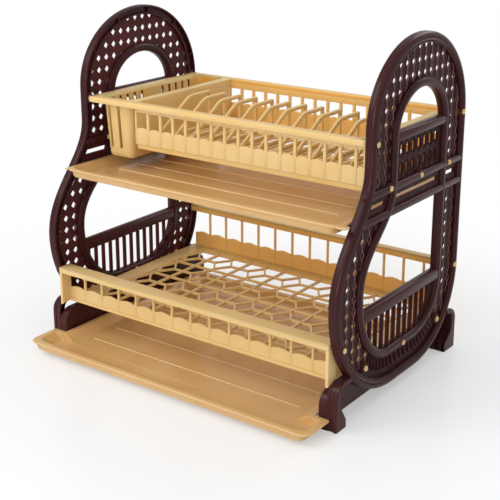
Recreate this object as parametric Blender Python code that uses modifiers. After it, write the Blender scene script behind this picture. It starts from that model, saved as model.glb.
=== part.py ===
# Two-tier dish rack. Two perforated side frames stand on foot rails and carry a
# plate basket and a bowl basket on pins; a drip tray slides out under each.
# X runs along the rack, Y from front to back, Z up, with the table at zero.
import math

import bpy
import bmesh
from mathutils import Matrix, Vector

# Sizes shared by the pieces, in metres
CLEARANCE = 0.0003
OVERLAP = 0.001
OVERRUN = 0.002
WALL = 0.0026

# Side frames: place, thickness and outer outline
FRAME_SPAN = 0.470
FRAME_THICK = 0.014
FRAME_DEPTH = 0.323
FRAME_TOP = 0.466
RING_BOTTOM = 0.022
ARCH_DEPTH = 0.248
ARCH_RISE_FRONT = 0.106
ARCH_RISE_REAR = 0.120
WAIST_TOP = 0.315
WAIST_PULL_HIGH = 0.054
WAIST_PULL_LOW = 0.070
BELLY_LEVEL = 0.158
TOE_LENGTH = 0.145
HEEL_LENGTH = 0.118
HEEL_RISE = 0.108

# Side frames: inner opening, rims, rails and web
COLUMN_WIDTH = 0.063
ARCH_BAND = 0.069
BASE_BAND = 0.046
HAND_RISE = 0.052
INNER_WAIST_TOP = 0.285
INNER_PULL_HIGH = 0.054
INNER_PULL_LOW = 0.059
INNER_TOE = 0.0725
INNER_HEEL = 0.0635
INNER_HEEL_RISE = 0.057
RIM_WIDTH = 0.014
BEAD_WIDTH = 0.013
CHAMFER = 0.0025
WEB_THICK = 0.003
HAND_RAIL_TOP = 0.351
HAND_RAIL_HEIGHT = 0.014
BAND_TOP = 0.287
BAND_BOTTOM = 0.246
BAND_LIP = 0.010
CROSSBAR_TOP = 0.137
CROSSBAR_HEIGHT = 0.018

# Side frames: pierced patterns
STUD_PITCH_Y = 0.016
STUD_PITCH_Z = 0.017
STUD_TOP = 0.449
STUD_WIDTH = 0.0076
STUD_HEIGHT = 0.0092
STUD_MARGIN = 0.001
CELL_PITCH = 0.0153
CELL_WIDTH = 0.0095
CELL_HEIGHT = 0.019
CELL_POINT = 0.004
SLOT_HEIGHT = 0.006
SLOT_MARGIN = 0.006
SLAT_PITCH = 0.0155
SLAT_WIDTH = 0.005
SLAT_MARGIN = 0.003

# Foot rails
CHEEK_THICK = 0.012
CHEEK_TOP = 0.048
CHEEK_BOTTOM = 0.0127
FOOT_PROUD = 0.001
FOOT_FRONT_GAP = 0.003
FOOT_TOP = 0.062
FOOT_ROUND = 0.018
FOOT_LEG_FRONT = 0.026
FOOT_LEG_REAR = 0.036
FOOT_SPREAD = 0.010
EYE_LENGTH = 0.025
EYE_HEIGHT = 0.013
EYE_BACK = 0.032
EYE_LEVEL = 0.0405
LEDGE_REACH = 0.008
LEDGE_THICK = 0.003
LEDGE_INSET = 0.016
UPPER_LEDGE_FRONT = 0.272

# Pins that snap through the frames
PIN_RADIUS = 0.0036
PIN_PROUD = 0.001
PIN_INSET = 0.009
PIN_LEVEL = 0.283
PIN_END_INSET = 0.045
BOWL_PIN_FRONT_INSET = 0.019
BOWL_PIN_FRONT_LEVEL = 0.104
BOWL_PIN_CENTRE = 0.154
BOWL_PIN_PITCH = 0.097
SHOULDER_DEPTH = 0.012
SHOULDER_HEIGHT = 0.006

# Plate basket
PLATE_TOP = 0.3495
PLATE_FRONT_GAP = 0.003
PLATE_REAR_GAP = 0.005
RIM_BAR = 0.0125
RIM_HEIGHT = 0.008
PLATE_LEFT = 0.081
PLATE_END = 0.0055
PLATE_FLOOR = 0.291
PLATE_FLOOR_THICK = 0.003
POST_START = 0.1034
POST_PITCH = 0.0222
POST_WIDTH = 0.0045
POST_LIP = 0.003
SCALLOP_LEVEL = 0.311
SCALLOP_RISE = 0.002
BASE_RAIL = 0.0085
BASE_RAIL_WIDTH = 0.004
BASE_INSET = 0.002
DIVIDER_START = 0.1017
DIVIDER_PITCH = 0.0282
DIVIDER_THICK = 0.003
DIVIDER_LEG = 0.006
DIVIDER_TOP = 0.3465
DIVIDER_FOOT = 0.016
DIVIDER_BAR_FRONT = 0.103
DIVIDER_REAR = 0.153
DRAIN_WIDTH = 0.019
DRAIN_BAR = 0.010
DRAIN_ROWS = 3

# Cutlery trough
TROUGH_FLANGE = 0.0145
TROUGH_WIDTH = 0.0575
TROUGH_BOTTOM = 0.262
TROUGH_TAPER = 0.006
TROUGH_CORNER = 0.014
TROUGH_ROUND = 0.006
TROUGH_PARTITION_DROP = 0.0107
TROUGH_SLOT = 0.0045
TROUGH_SLOT_PITCH = 0.0155
TROUGH_SLOT_TOP = 0.337
TROUGH_SLOT_FOOT = 0.276
TROUGH_SLOTS = 5

# Bowl basket
BOWL_FRONT_TOP = 0.1125
BOWL_REAR_TOP = 0.132
BOWL_FLOOR = 0.0625
BOWL_FLOOR_THICK = 0.004
BOWL_FRONT_GAP = 0.005
BOWL_REAR_GAP = 0.005
BOWL_FRONT_BAR = 0.0196
BOWL_REAR_BAR = 0.013
BOWL_REAR_WALL = 0.006
BOWL_RIM_FRONT = 0.0085
BOWL_RIM_REAR = 0.010
BOWL_POST_PITCH = 0.0324
BOWL_POST_WIDTH = 0.0045
BOWL_BAND_FRONT = 0.078
BOWL_BAND_REAR = 0.083
BOWL_SCALLOP = 0.0025
BOWL_END_WALL = 0.0045
BOWL_END_DROP = 0.0065
BORDER_SIDE = 0.026
CELL_BAY = 0.0648
CELL_ROW = 0.058
CELL_REAR = 0.025
STRUT = 0.0036
DIAMOND_HALF_WIDTH = 0.0125
DIAMOND_HALF_HEIGHT = 0.017
BOWL_BAYS = 7
BOWL_ROWS = 4

# Drip trays
TRAY_FLANGE_INSET = 0.0065
TRAY_LIP = 0.008
TRAY_LIP_THICK = 0.0025
TRAY_SHEET = 0.0021
TRAY_HEIGHT = 0.012
TRAY_SLOPE = 0.014
TRAY_CORNER = 0.016
TRAY_WING_CORNER = 0.003
TRAY_CORNER_SHARE = 0.5
TRAY_GAP = 0.0015
TRAY_RIB_WIDTH = 0.004
TRAY_RIB_RISE = 0.0012
TRAY_RIB_MARGIN = 0.014
TRAY_RIBS = 5
TRAY_REAR_GAP = 0.013
UPPER_TRAY_TOP = 0.2555
UPPER_TRAY_FRONT = 0.298
UPPER_TRAY_SHOULDER = 0.2865
LOWER_TRAY_TOP = 0.0185
LOWER_TRAY_REACH = 0.053

# Drawing steps of the curves
ARC_STEPS = 8
WAIST_STEPS = 8
CORNER_STEPS = 4
EYE_STEPS = 12
PIN_SIDES = 8
RIGHT_ANGLE = math.pi / 2
MERGE = 0.00001
FLAT_ANGLE = 0.0005

# Places worked out from the sizes
REAR_Y = (FRAME_DEPTH + LOWER_TRAY_REACH) / 2
BELLY_Y = REAR_Y - FRAME_DEPTH
ARCH_Y = REAR_Y - ARCH_DEPTH
MIDDLE_Y = REAR_Y - ARCH_DEPTH / 2
INNER_X = (FRAME_SPAN - FRAME_THICK) / 2
OUTER_X = (FRAME_SPAN + FRAME_THICK) / 2
BASKET_X = INNER_X - CLEARANCE
CHEEK_X = BASKET_X - CHEEK_THICK
TRAY_FLANGE = OUTER_X - TRAY_FLANGE_INSET
PLATE_FRONT = ARCH_Y + PLATE_FRONT_GAP
PLATE_REAR = REAR_Y - PLATE_REAR_GAP
BOWL_FRONT = BELLY_Y + BOWL_FRONT_GAP
BOWL_REAR = REAR_Y - BOWL_REAR_GAP
FOOT_FRONT = BELLY_Y + FOOT_FRONT_GAP
TROUGH_TOP = PLATE_TOP - RIM_HEIGHT - CLEARANCE
PIN_PITCH = ARCH_DEPTH / 2 - PIN_END_INSET

# Colours, roughness
BROWN = (0.045, 0.013, 0.014)
CREAM = (0.72, 0.55, 0.28)
TAN = (0.49, 0.25, 0.075)
GLOSS = 0.28
SATIN = 0.4


# Scene helpers

def clear_scene():
    for item in list(bpy.data.objects):
        bpy.data.objects.remove(item, do_unlink=True)


def new_collection(name):
    group = bpy.data.collections.new(name)
    bpy.context.scene.collection.children.link(group)
    return group


def plastic(name, colour, roughness):
    material = bpy.data.materials.new(name)
    material.use_nodes = True
    shader = material.node_tree.nodes["Principled BSDF"]
    shader.inputs["Base Color"].default_value = (*colour, 1)
    shader.inputs["Roughness"].default_value = roughness
    shader.inputs["Metallic"].default_value = 0
    return material


def show(mesh, name):
    item = bpy.data.objects.new(name, mesh)
    bpy.context.scene.collection.objects.link(item)
    return item


def remove(item):
    mesh = item.data
    bpy.data.objects.remove(item, do_unlink=True)
    bpy.data.meshes.remove(mesh)


def evaluated_mesh(item):
    graph = bpy.context.evaluated_depsgraph_get()
    graph.update()
    return bpy.data.meshes.new_from_object(item.evaluated_get(graph))


def apply_modifiers(item):
    old = item.data
    item.data = evaluated_mesh(item)
    item.modifiers.clear()
    bpy.data.meshes.remove(old)
    return item


def to_mesh(work, name):
    # Welds the faces drawn so far into one closed mesh
    bmesh.ops.remove_doubles(work, verts=work.verts, dist=MERGE)
    bmesh.ops.recalc_face_normals(work, faces=work.faces)
    mesh = bpy.data.meshes.new(name)
    work.to_mesh(mesh)
    work.free()
    return mesh


def combine(base, tool, operation):
    # Leaves base changed by the tool and removes the tool
    change = base.modifiers.new(operation.lower(), "BOOLEAN")
    change.operation = operation
    change.object = tool
    apply_modifiers(base)
    remove(tool)
    return base


def unite(items):
    base = items[0]
    for item in items[1:]:
        combine(base, item, "UNION")
    return base


def gather(items, name):
    # Bodies that stay apart, kept as one mesh
    work = bmesh.new()
    for item in items:
        work.from_mesh(item.data)
        remove(item)
    return show(to_mesh(work, name), name)


def simplify(item):
    # Merges the flat slivers that the cuts leave behind
    work = bmesh.new()
    work.from_mesh(item.data)
    bmesh.ops.dissolve_limit(work, angle_limit=FLAT_ANGLE, verts=work.verts, edges=work.edges)
    bmesh.ops.triangulate(work, faces=work.faces)
    work.to_mesh(item.data)
    work.free()


def finish(item, name, material, group, place):
    simplify(item)
    item.name = name
    item.data.name = name
    item.data.materials.clear()
    item.data.materials.append(material)
    item.location = place
    for old in list(item.users_collection):
        old.objects.unlink(item)
    group.objects.link(item)
    return item


# Shapes: panels, boxes, pins and basins

AXES = {
    "x": Matrix(((0, 0, 1), (1, 0, 0), (0, 1, 0))),
    "y": Matrix(((1, 0, 0), (0, 0, -1), (0, 1, 0))),
    "z": Matrix.Identity(3),
}


def panel(name, loops, axis, start, end):
    # A flat outline, standing between start and end on the axis
    curve = bpy.data.curves.new(name, "CURVE")
    curve.dimensions = "2D"
    curve.fill_mode = "BOTH"
    curve.extrude = abs(end - start) / 2
    for loop in loops:
        spline = curve.splines.new("POLY")
        spline.points.add(len(loop) - 1)
        for point, place in zip(spline.points, loop):
            point.co = (*place, 0, 1)
        spline.use_cyclic_u = True
    drawing = bpy.data.objects.new(name, curve)
    bpy.context.scene.collection.objects.link(drawing)
    work = bmesh.new()
    flat = evaluated_mesh(drawing)
    work.from_mesh(flat)
    bpy.data.meshes.remove(flat)
    bpy.data.objects.remove(drawing, do_unlink=True)
    bpy.data.curves.remove(curve)
    middle = (start + end) / 2
    if axis == "y":
        middle = -middle
    bmesh.ops.translate(work, vec=(0, 0, middle), verts=work.verts)
    bmesh.ops.transform(work, matrix=AXES[axis], verts=work.verts)
    return show(to_mesh(work, name), name)


def pierce(item, loops, axis, start, end):
    # Cuts every outline through the item, between start and end on the axis
    return combine(item, panel("cut", loops, axis, start, end), "DIFFERENCE")


def round_edges(item, width):
    bevel = item.modifiers.new("rounding", "BEVEL")
    bevel.width = width
    bevel.segments = 1
    bevel.limit_method = "ANGLE"
    bevel.angle_limit = RIGHT_ANGLE / 2
    return apply_modifiers(item)


def box(name, low, high):
    work = bmesh.new()
    bmesh.ops.create_cube(work, size=1)
    size = [b - a for a, b in zip(low, high)]
    centre = [(a + b) / 2 for a, b in zip(low, high)]
    bmesh.ops.scale(work, vec=size, verts=work.verts)
    bmesh.ops.translate(work, vec=centre, verts=work.verts)
    return show(to_mesh(work, name), name)


def pin(name, y, z, start, end, radius):
    # A round pin along X
    work = bmesh.new()
    bmesh.ops.create_cone(work, cap_ends=True, segments=PIN_SIDES, radius1=radius,
                          radius2=radius, depth=abs(end - start))
    bmesh.ops.transform(work, matrix=Matrix.Rotation(RIGHT_ANGLE, 3, "Y"), verts=work.verts)
    bmesh.ops.translate(work, vec=((start + end) / 2, y, z), verts=work.verts)
    return show(to_mesh(work, name), name)


def basin(name, rings, thick):
    # An open basin: matching outlines from the lip down to the floor
    work = bmesh.new()
    loops = [[work.verts.new((x, y, z)) for x, y in outline] for outline, z in rings]
    count = len(loops[0])
    for upper, lower in zip(loops, loops[1:]):
        for i in range(count):
            work.faces.new((upper[i - 1], upper[i], lower[i], lower[i - 1]))
    work.faces.new(loops[-1])
    item = show(to_mesh(work, name), name)
    sheet = item.modifiers.new("sheet", "SOLIDIFY")
    sheet.thickness = thick
    sheet.offset = 0
    sheet.use_even_offset = True
    apply_modifiers(item)
    return item


# Outlines: points as (across, up) pairs, anticlockwise

def arc(centre, radii, start, end, steps):
    points = []
    for i in range(steps + 1):
        turn = start + (end - start) * i / steps
        across = centre[0] + radii[0] * math.cos(turn)
        points.append((across, centre[1] + radii[1] * math.sin(turn)))
    return points


def bend(start, pull_start, pull_end, end, steps):
    # A cubic curve between two points with a pull at each
    points = []
    places = (start, pull_start, pull_end, end)
    for i in range(steps + 1):
        t = i / steps
        weights = ((1 - t) ** 3, 3 * t * (1 - t) ** 2, 3 * t * t * (1 - t), t ** 3)
        points.append(tuple(sum(w * p[k] for w, p in zip(weights, places)) for k in (0, 1)))
    return points


def tidy(points):
    # Drops points that repeat the one before
    kept = []
    for point in points:
        if not kept or math.dist(point, kept[-1]) > MERGE:
            kept.append(point)
    if math.dist(kept[0], kept[-1]) < MERGE:
        kept.pop()
    return kept


def rectangle(left, right, low, high):
    return [(left, low), (right, low), (right, high), (left, high)]


def rounded(left, right, low, high, corner):
    points = []
    spots = ((right - corner, high - corner), (left + corner, high - corner),
             (left + corner, low + corner), (right - corner, low + corner))
    for turn, spot in enumerate(spots):
        points += arc(spot, (corner, corner), turn * RIGHT_ANGLE, (turn + 1) * RIGHT_ANGLE, CORNER_STEPS)
    return points


def inset(loop, distance):
    # The loop moved inwards by the distance, or outwards if that is negative
    moved = []
    count = len(loop)
    for i in range(count):
        here = Vector(loop[i])
        before = (here - Vector(loop[i - 1])).normalized()
        after = (Vector(loop[(i + 1) % count]) - here).normalized()
        side = Vector((-before.y, before.x))
        normal = (side + Vector((-after.y, after.x))).normalized()
        moved.append(tuple(here + normal * (distance / normal.dot(side))))
    return moved


def clip(loop, axis, level, keep_above):
    # The part of a loop on one side of a level line
    sign = 1 if keep_above else -1
    kept = []
    for i, here in enumerate(loop):
        before = loop[i - 1]
        here_in = sign * (here[axis] - level) > 0
        before_in = sign * (before[axis] - level) > 0
        if here_in != before_in:
            along = (level - before[axis]) / (here[axis] - before[axis])
            kept.append(tuple(b + (h - b) * along for b, h in zip(before, here)))
        if here_in:
            kept.append(here)
    return tidy(kept) if kept else []


def between(loop, low, high, axis=1):
    part = clip(loop, axis, low, True)
    return clip(part, axis, high, False) if part else []


def chain(loop, level, above):
    # The open run of a loop on one side of a level, with its two crossings
    part = clip(loop, 1, level, above)
    flat = [abs(point[1] - level) < MERGE for point in part]
    start = next(i for i in range(len(part)) if flat[i] and flat[i - 1])
    return part[start:] + part[:start]


def cup(outer, inner, level, above):
    # The space between two loops on one side of a level
    return chain(outer, level, above) + chain(inner, level, above)[::-1]


def side_run(loop, rear):
    # The points of a loop behind, or in front of, the middle of the arch
    picked = [(point[0] >= MIDDLE_Y) == rear for point in loop]
    start = next(i for i in range(len(loop)) if picked[i] and not picked[i - 1])
    return (loop[start:] + loop[:start])[:sum(picked)]


def contains(loop, point):
    inside = False
    for i, here in enumerate(loop):
        before = loop[i - 1]
        if (here[1] > point[1]) != (before[1] > point[1]):
            along = (point[1] - before[1]) / (here[1] - before[1])
            if point[0] < before[0] + (here[0] - before[0]) * along:
                inside = not inside
    return inside


def steps_between(start, end, pitch):
    # Places from start up to end, one pitch apart
    count = int((end - start) / pitch + MERGE)
    return [start + pitch * i for i in range(count + 1)]


# Side frames

def frame_loop():
    bottom = RING_BOTTOM
    half = ARCH_DEPTH / 2
    points = arc((MIDDLE_Y, FRAME_TOP - ARCH_RISE_REAR), (half, ARCH_RISE_REAR),
                 0, RIGHT_ANGLE, ARC_STEPS)
    points += arc((MIDDLE_Y, FRAME_TOP - ARCH_RISE_FRONT), (half, ARCH_RISE_FRONT),
                  RIGHT_ANGLE, 2 * RIGHT_ANGLE, ARC_STEPS)
    points += bend((ARCH_Y, WAIST_TOP), (ARCH_Y, WAIST_TOP - WAIST_PULL_HIGH),
                   (BELLY_Y, BELLY_LEVEL + WAIST_PULL_LOW), (BELLY_Y, BELLY_LEVEL), WAIST_STEPS)
    points += arc((BELLY_Y + TOE_LENGTH, BELLY_LEVEL), (TOE_LENGTH, BELLY_LEVEL - bottom),
                  2 * RIGHT_ANGLE, 3 * RIGHT_ANGLE, ARC_STEPS)
    points += arc((REAR_Y - HEEL_LENGTH, bottom + HEEL_RISE), (HEEL_LENGTH, HEEL_RISE),
                  3 * RIGHT_ANGLE, 4 * RIGHT_ANGLE, ARC_STEPS)
    return tidy(points)


def inner_loop():
    front, rear = ARCH_Y + COLUMN_WIDTH, REAR_Y - COLUMN_WIDTH
    belly, bottom = BELLY_Y + COLUMN_WIDTH, RING_BOTTOM + BASE_BAND
    half = (rear - front) / 2
    points = arc((front + half, FRAME_TOP - ARCH_BAND - HAND_RISE), (half, HAND_RISE),
                 0, 2 * RIGHT_ANGLE, 2 * ARC_STEPS)
    points += bend((front, INNER_WAIST_TOP), (front, INNER_WAIST_TOP - INNER_PULL_HIGH),
                   (belly, BELLY_LEVEL + INNER_PULL_LOW), (belly, BELLY_LEVEL), WAIST_STEPS)
    points += arc((belly + INNER_TOE, BELLY_LEVEL), (INNER_TOE, BELLY_LEVEL - bottom),
                  2 * RIGHT_ANGLE, 3 * RIGHT_ANGLE, ARC_STEPS)
    points += arc((rear - INNER_HEEL, bottom + INNER_HEEL_RISE), (INNER_HEEL, INNER_HEEL_RISE),
                  3 * RIGHT_ANGLE, 4 * RIGHT_ANGLE, ARC_STEPS)
    return tidy(points)


def pin_places():
    # Where the pins of both baskets pass the frames, as (y, z)
    steps = (-1, 0, 1)
    plate_level = PLATE_TOP - RIM_HEIGHT / 2
    bowl_level = BOWL_FLOOR - BOWL_FLOOR_THICK / 2
    bowl_centre = REAR_Y - BOWL_PIN_CENTRE
    plate = [(ARCH_Y + PIN_INSET, plate_level), (REAR_Y - PIN_INSET, plate_level)]
    plate += [(MIDDLE_Y + PIN_PITCH * i, PIN_LEVEL) for i in steps]
    bowl = [(BELLY_Y + BOWL_PIN_FRONT_INSET, BOWL_PIN_FRONT_LEVEL),
            (REAR_Y - PIN_INSET, BOWL_REAR_TOP - BOWL_RIM_REAR / 2)]
    bowl += [(bowl_centre + BOWL_PIN_PITCH * i, bowl_level) for i in steps]
    return plate, bowl


def stud_holes(rim, bead):
    # Diamonds on one grid, wherever a whole one fits between rim and bead
    holes = []
    half_y, half_z = STUD_WIDTH / 2, STUD_HEIGHT / 2
    safe_rim, safe_bead = inset(rim, STUD_MARGIN), inset(bead, -STUD_MARGIN)
    edge = half_z + STUD_MARGIN
    pins = sum(pin_places(), [])
    clear = edge + PIN_RADIUS
    rows = int((STUD_TOP - RING_BOTTOM) / STUD_PITCH_Z)
    columns = int(FRAME_DEPTH / STUD_PITCH_Y)
    for row in range(rows):
        z = STUD_TOP - STUD_PITCH_Z * row
        if BAND_BOTTOM - edge < z < BAND_TOP + edge:
            continue
        for column in range(-columns, columns):
            y = MIDDLE_Y + STUD_PITCH_Y * (column + 1 / 2)
            tips = [(y + half_y, z), (y, z + half_z), (y - half_y, z), (y, z - half_z)]
            fits = all(contains(safe_rim, tip) and not contains(safe_bead, tip) for tip in tips)
            if fits and all(math.dist(place, (y, z)) > clear for place in pins):
                holes.append(tips)
    return holes


def lattice_holes():
    # Two rows of tall six-sided cells between the hand rail and the band
    low, high = BAND_TOP, HAND_RAIL_TOP - HAND_RAIL_HEIGHT
    count = int((ARCH_DEPTH - 2 * COLUMN_WIDTH) / CELL_PITCH)
    half_y, half_z = CELL_WIDTH / 2, CELL_HEIGHT / 2
    holes = []
    for row in (0, 1):
        z = low + (high - low) * (1 + 2 * row) / 4
        for i in range(count):
            y = MIDDLE_Y + CELL_PITCH * (i - (count - 1) / 2)
            flat = half_z - CELL_POINT
            holes.append([(y + half_y, z - flat), (y + half_y, z + flat), (y, z + half_z),
                          (y - half_y, z + flat), (y - half_y, z - flat), (y, z - half_z)])
    return holes


def slat_holes(space):
    # The gaps between the upright slats under the crossbar
    holes = []
    inside = inset(space, SLAT_MARGIN)
    front = min(point[0] for point in inside)
    rear = max(point[0] for point in inside)
    for y in steps_between(front, rear - SLAT_WIDTH, SLAT_PITCH):
        holes.append(between(inside, y, y + SLAT_PITCH - SLAT_WIDTH, 0))
    return [hole for hole in holes if hole]


def slot_hole(recess):
    # One slot along the middle of a recess in the band
    middle = (BAND_TOP + BAND_BOTTOM) / 2
    low, high = middle - SLOT_HEIGHT / 2, middle + SLOT_HEIGHT / 2
    part = between(recess, low, high)
    centre = sum(point[0] for point in part) / len(part)
    front = max(point[0] for point in part if point[0] < centre)
    rear = min(point[0] for point in part if point[0] > centre)
    return rectangle(front + SLOT_MARGIN, rear - SLOT_MARGIN, low, high)


def frame_recesses(outer, inner):
    # Every recess down to the web, each with the holes that pierce it
    rim, bead = inset(outer, RIM_WIDTH), inset(inner, -BEAD_WIDTH)
    low, high = BAND_BOTTOM + BAND_LIP, BAND_TOP - BAND_LIP
    studs = stud_holes(rim, bead)
    recesses = []
    for level, above in ((BAND_TOP, True), (BAND_BOTTOM, False)):
        own = [hole for hole in studs if (hole[0][1] > level) == above]
        recesses.append((cup(rim, bead, level, above), own))
    band, column = between(rim, low, high), between(bead, low, high)
    for rear in (False, True):
        recess = side_run(band, rear) + side_run(column, rear)[::-1]
        recesses.append((recess, [slot_hole(recess)]))
    middle = between(inner, low, high)
    recesses.append((middle, [slot_hole(middle)]))
    recesses.append((between(inner, BAND_TOP, HAND_RAIL_TOP - HAND_RAIL_HEIGHT), lattice_holes()))
    space = clip(inner, 1, CROSSBAR_TOP - CROSSBAR_HEIGHT, False)
    recesses.append((space, slat_holes(space)))
    return recesses


def frame_body(name, outer, openings, recesses):
    # A thick plate with rounded rims, hollowed from both faces down to a thin
    # web, which is then pierced
    half, web = FRAME_THICK / 2, WEB_THICK / 2
    body = round_edges(panel(name, [outer] + openings, "x", -half, half), CHAMFER)
    for side in (-1, 1):
        pierce(body, [loop for loop, _ in recesses], "x", side * web, side * (half + OVERRUN))
    holes = sum((holes for _, holes in recesses), [])
    return pierce(body, holes, "x", -web - OVERRUN, web + OVERRUN)


def side_frame(name, side, material, group):
    outer, inner = frame_loop(), inner_loop()
    openings = [clip(inner, 1, HAND_RAIL_TOP, True), between(inner, CROSSBAR_TOP, BAND_BOTTOM)]
    frame = frame_body(name, outer, openings, frame_recesses(outer, inner))
    level = UPPER_TRAY_TOP - TRAY_LIP_THICK - CLEARANCE
    face = FRAME_THICK / 2
    near, far = sorted((-side * (face - OVERLAP), -side * (face + LEDGE_REACH)))
    ledge = box("ledge", (near, REAR_Y - UPPER_LEDGE_FRONT, level - LEDGE_THICK),
                (far, REAR_Y - LEDGE_INSET, level))
    combine(frame, ledge, "UNION")
    holes = [pin("hole", y, z, -FRAME_THICK, FRAME_THICK, PIN_RADIUS + CLEARANCE)
             for y, z in sum(pin_places(), [])]
    combine(frame, gather(holes, "holes"), "DIFFERENCE")
    return finish(frame, name, material, group, (side * FRAME_SPAN / 2, 0, 0))


# Foot rails

def foot_loop(under, top):
    front, rear = FOOT_FRONT, REAR_Y
    points = [(front, 0), (front + FOOT_LEG_FRONT, 0),
              (front + FOOT_LEG_FRONT + FOOT_SPREAD, under),
              (rear - FOOT_LEG_REAR - FOOT_SPREAD, under), (rear - FOOT_LEG_REAR, 0), (rear, 0)]
    points += arc((rear - FOOT_ROUND, top - FOOT_ROUND), (FOOT_ROUND, FOOT_ROUND),
                  0, RIGHT_ANGLE, CORNER_STEPS)
    points += arc((front + FOOT_ROUND, top - FOOT_ROUND), (FOOT_ROUND, FOOT_ROUND),
                  RIGHT_ANGLE, 2 * RIGHT_ANGLE, CORNER_STEPS)
    return points


def foot_rail(name, side, material, group):
    # A cheek inside the frame with two legs that wrap round its lower corners
    half = FRAME_THICK / 2
    cheek_face = half + CLEARANCE + CHEEK_THICK
    outside = half + FOOT_PROUD
    cheek = panel("cheek", [foot_loop(CHEEK_BOTTOM, CHEEK_TOP)], "x",
                  -side * cheek_face, -side * (half - OVERLAP))
    legs = panel("legs", [foot_loop(RING_BOTTOM, FOOT_TOP)], "x", -side * half, side * outside)
    foot = unite([cheek, legs])
    pierce(foot, [inset(frame_loop(), -CLEARANCE)], "x",
           -side * (half + CLEARANCE), side * (outside + OVERRUN))
    level = LOWER_TRAY_TOP - TRAY_LIP_THICK - CLEARANCE
    near, far = sorted((-side * (cheek_face - OVERLAP), -side * (cheek_face + LEDGE_REACH)))
    ledge = box("ledge", (near, FOOT_FRONT + FOOT_LEG_FRONT, level - LEDGE_THICK),
                (far, REAR_Y - LEDGE_INSET, level))
    combine(foot, ledge, "UNION")
    eye = arc((FOOT_FRONT + EYE_BACK, EYE_LEVEL), (EYE_LENGTH / 2, EYE_HEIGHT / 2),
              0, 4 * RIGHT_ANGLE, EYE_STEPS)
    pierce(foot, [tidy(eye)], "x", -side * FRAME_SPAN / 2, side * FRAME_SPAN / 2)
    return finish(foot, name, material, group, (side * FRAME_SPAN / 2, 0, 0))


# Plate basket, its dividers and its cutlery trough

def plate_lines():
    # Middle lines of the walls: front, rear, left, right
    front = PLATE_FRONT + RIM_BAR - WALL / 2
    rear = PLATE_REAR - RIM_BAR + WALL / 2
    return front, rear, -BASKET_X + PLATE_LEFT, BASKET_X - PLATE_END - WALL / 2


def window(left, right, low, high, rise):
    # An opening over a band whose upper edge peaks in the middle
    return [(left, low), ((left + right) / 2, low + rise), (right, low), (right, high), (left, high)]


def windows(posts, post_width, low, high, rise):
    half = post_width / 2
    return [window(a + half, b - half, low, high, rise) for a, b in zip(posts, posts[1:])]


def plate_walls():
    front, rear, left, right = plate_lines()
    half = WALL / 2
    foot = PLATE_FLOOR - PLATE_FLOOR_THICK / 2
    rim_low = PLATE_TOP - RIM_HEIGHT
    outside = rectangle(left - half, right + half, front - half, rear + half)
    walls = panel("walls", [outside, inset(outside, WALL)], "z", foot, rim_low - CLEARANCE)
    top = rim_low - POST_LIP
    first = -BASKET_X + POST_START
    posts = [left + half - POST_WIDTH / 2]
    posts += steps_between(first, right - POST_PITCH / 2, POST_PITCH)
    posts.append(right - half + POST_WIDTH / 2)
    cuts = windows(posts, POST_WIDTH, SCALLOP_LEVEL, top, SCALLOP_RISE)
    pierce(walls, cuts, "y", front - RIM_BAR, rear + RIM_BAR)
    count = int((rear - front) / POST_PITCH)
    pitch = (rear - front - WALL) / count
    ends = [front + half + pitch * i for i in range(count + 1)]
    cuts = windows(ends, POST_WIDTH, SCALLOP_LEVEL, top, SCALLOP_RISE)
    return pierce(walls, cuts, "x", right - RIM_BAR, right + RIM_BAR)


def divider_places():
    _, _, _, right = plate_lines()
    return steps_between(-BASKET_X + DIVIDER_START, right - DIVIDER_PITCH / 2, DIVIDER_PITCH)


def plate_floor():
    front, rear, left, right = plate_lines()
    floor = box("floor", (left, front, PLATE_FLOOR - PLATE_FLOOR_THICK), (right, rear, PLATE_FLOOR))
    pitch = (rear - front) / DRAIN_ROWS
    drains = []
    for x in [place + DIVIDER_PITCH / 2 for place in divider_places()]:
        for row in range(DRAIN_ROWS):
            low = front + pitch * row + DRAIN_BAR / 2
            drains.append(rectangle(x - DRAIN_WIDTH / 2, x + DRAIN_WIDTH / 2,
                                    low, low + pitch - DRAIN_BAR))
    return pierce(floor, drains, "z", PLATE_FLOOR - PLATE_FLOOR_THICK - OVERRUN, PLATE_FLOOR + OVERRUN)


def base_rail():
    front, rear, left, right = plate_lines()
    outside = inset(rectangle(left, right, front, rear), BASE_INSET - WALL / 2)
    return panel("base", [outside, inset(outside, BASE_RAIL_WIDTH)], "z",
                 PLATE_FLOOR - BASE_RAIL, PLATE_FLOOR - PLATE_FLOOR_THICK / 2)


def dividers(name, material, group):
    # Each has a slanting front leg, a level bar and an upright rear leg, on a low rib
    low = PLATE_FLOOR + CLEARANCE
    rear = PLATE_FRONT + DIVIDER_REAR
    outside = [(PLATE_FRONT + DIVIDER_FOOT, low), (rear, low), (rear, DIVIDER_TOP),
               (PLATE_FRONT + DIVIDER_BAR_FRONT, DIVIDER_TOP)]
    loops = [outside, inset(outside, DIVIDER_LEG)]
    half = DIVIDER_THICK / 2
    for count, x in enumerate(divider_places(), 1):
        divider = panel(name, loops, "x", -half, half)
        finish(divider, "%s_%02d" % (name, count), material, group, (x, 0, 0))


def trough_span():
    left = -BASKET_X + TROUGH_FLANGE
    return left, left + TROUGH_WIDTH


def trough_loop(distance):
    front, rear, _, _ = plate_lines()
    left, right = trough_span()
    return rounded(left + distance, right - distance, front + distance, rear - distance,
                   TROUGH_CORNER)


def trough_inset(level):
    # How far the tapering wall has come in at a level
    low = TROUGH_BOTTOM + TROUGH_ROUND
    return TROUGH_TAPER * (TROUGH_TOP - level) / (TROUGH_TOP - low)


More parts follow.
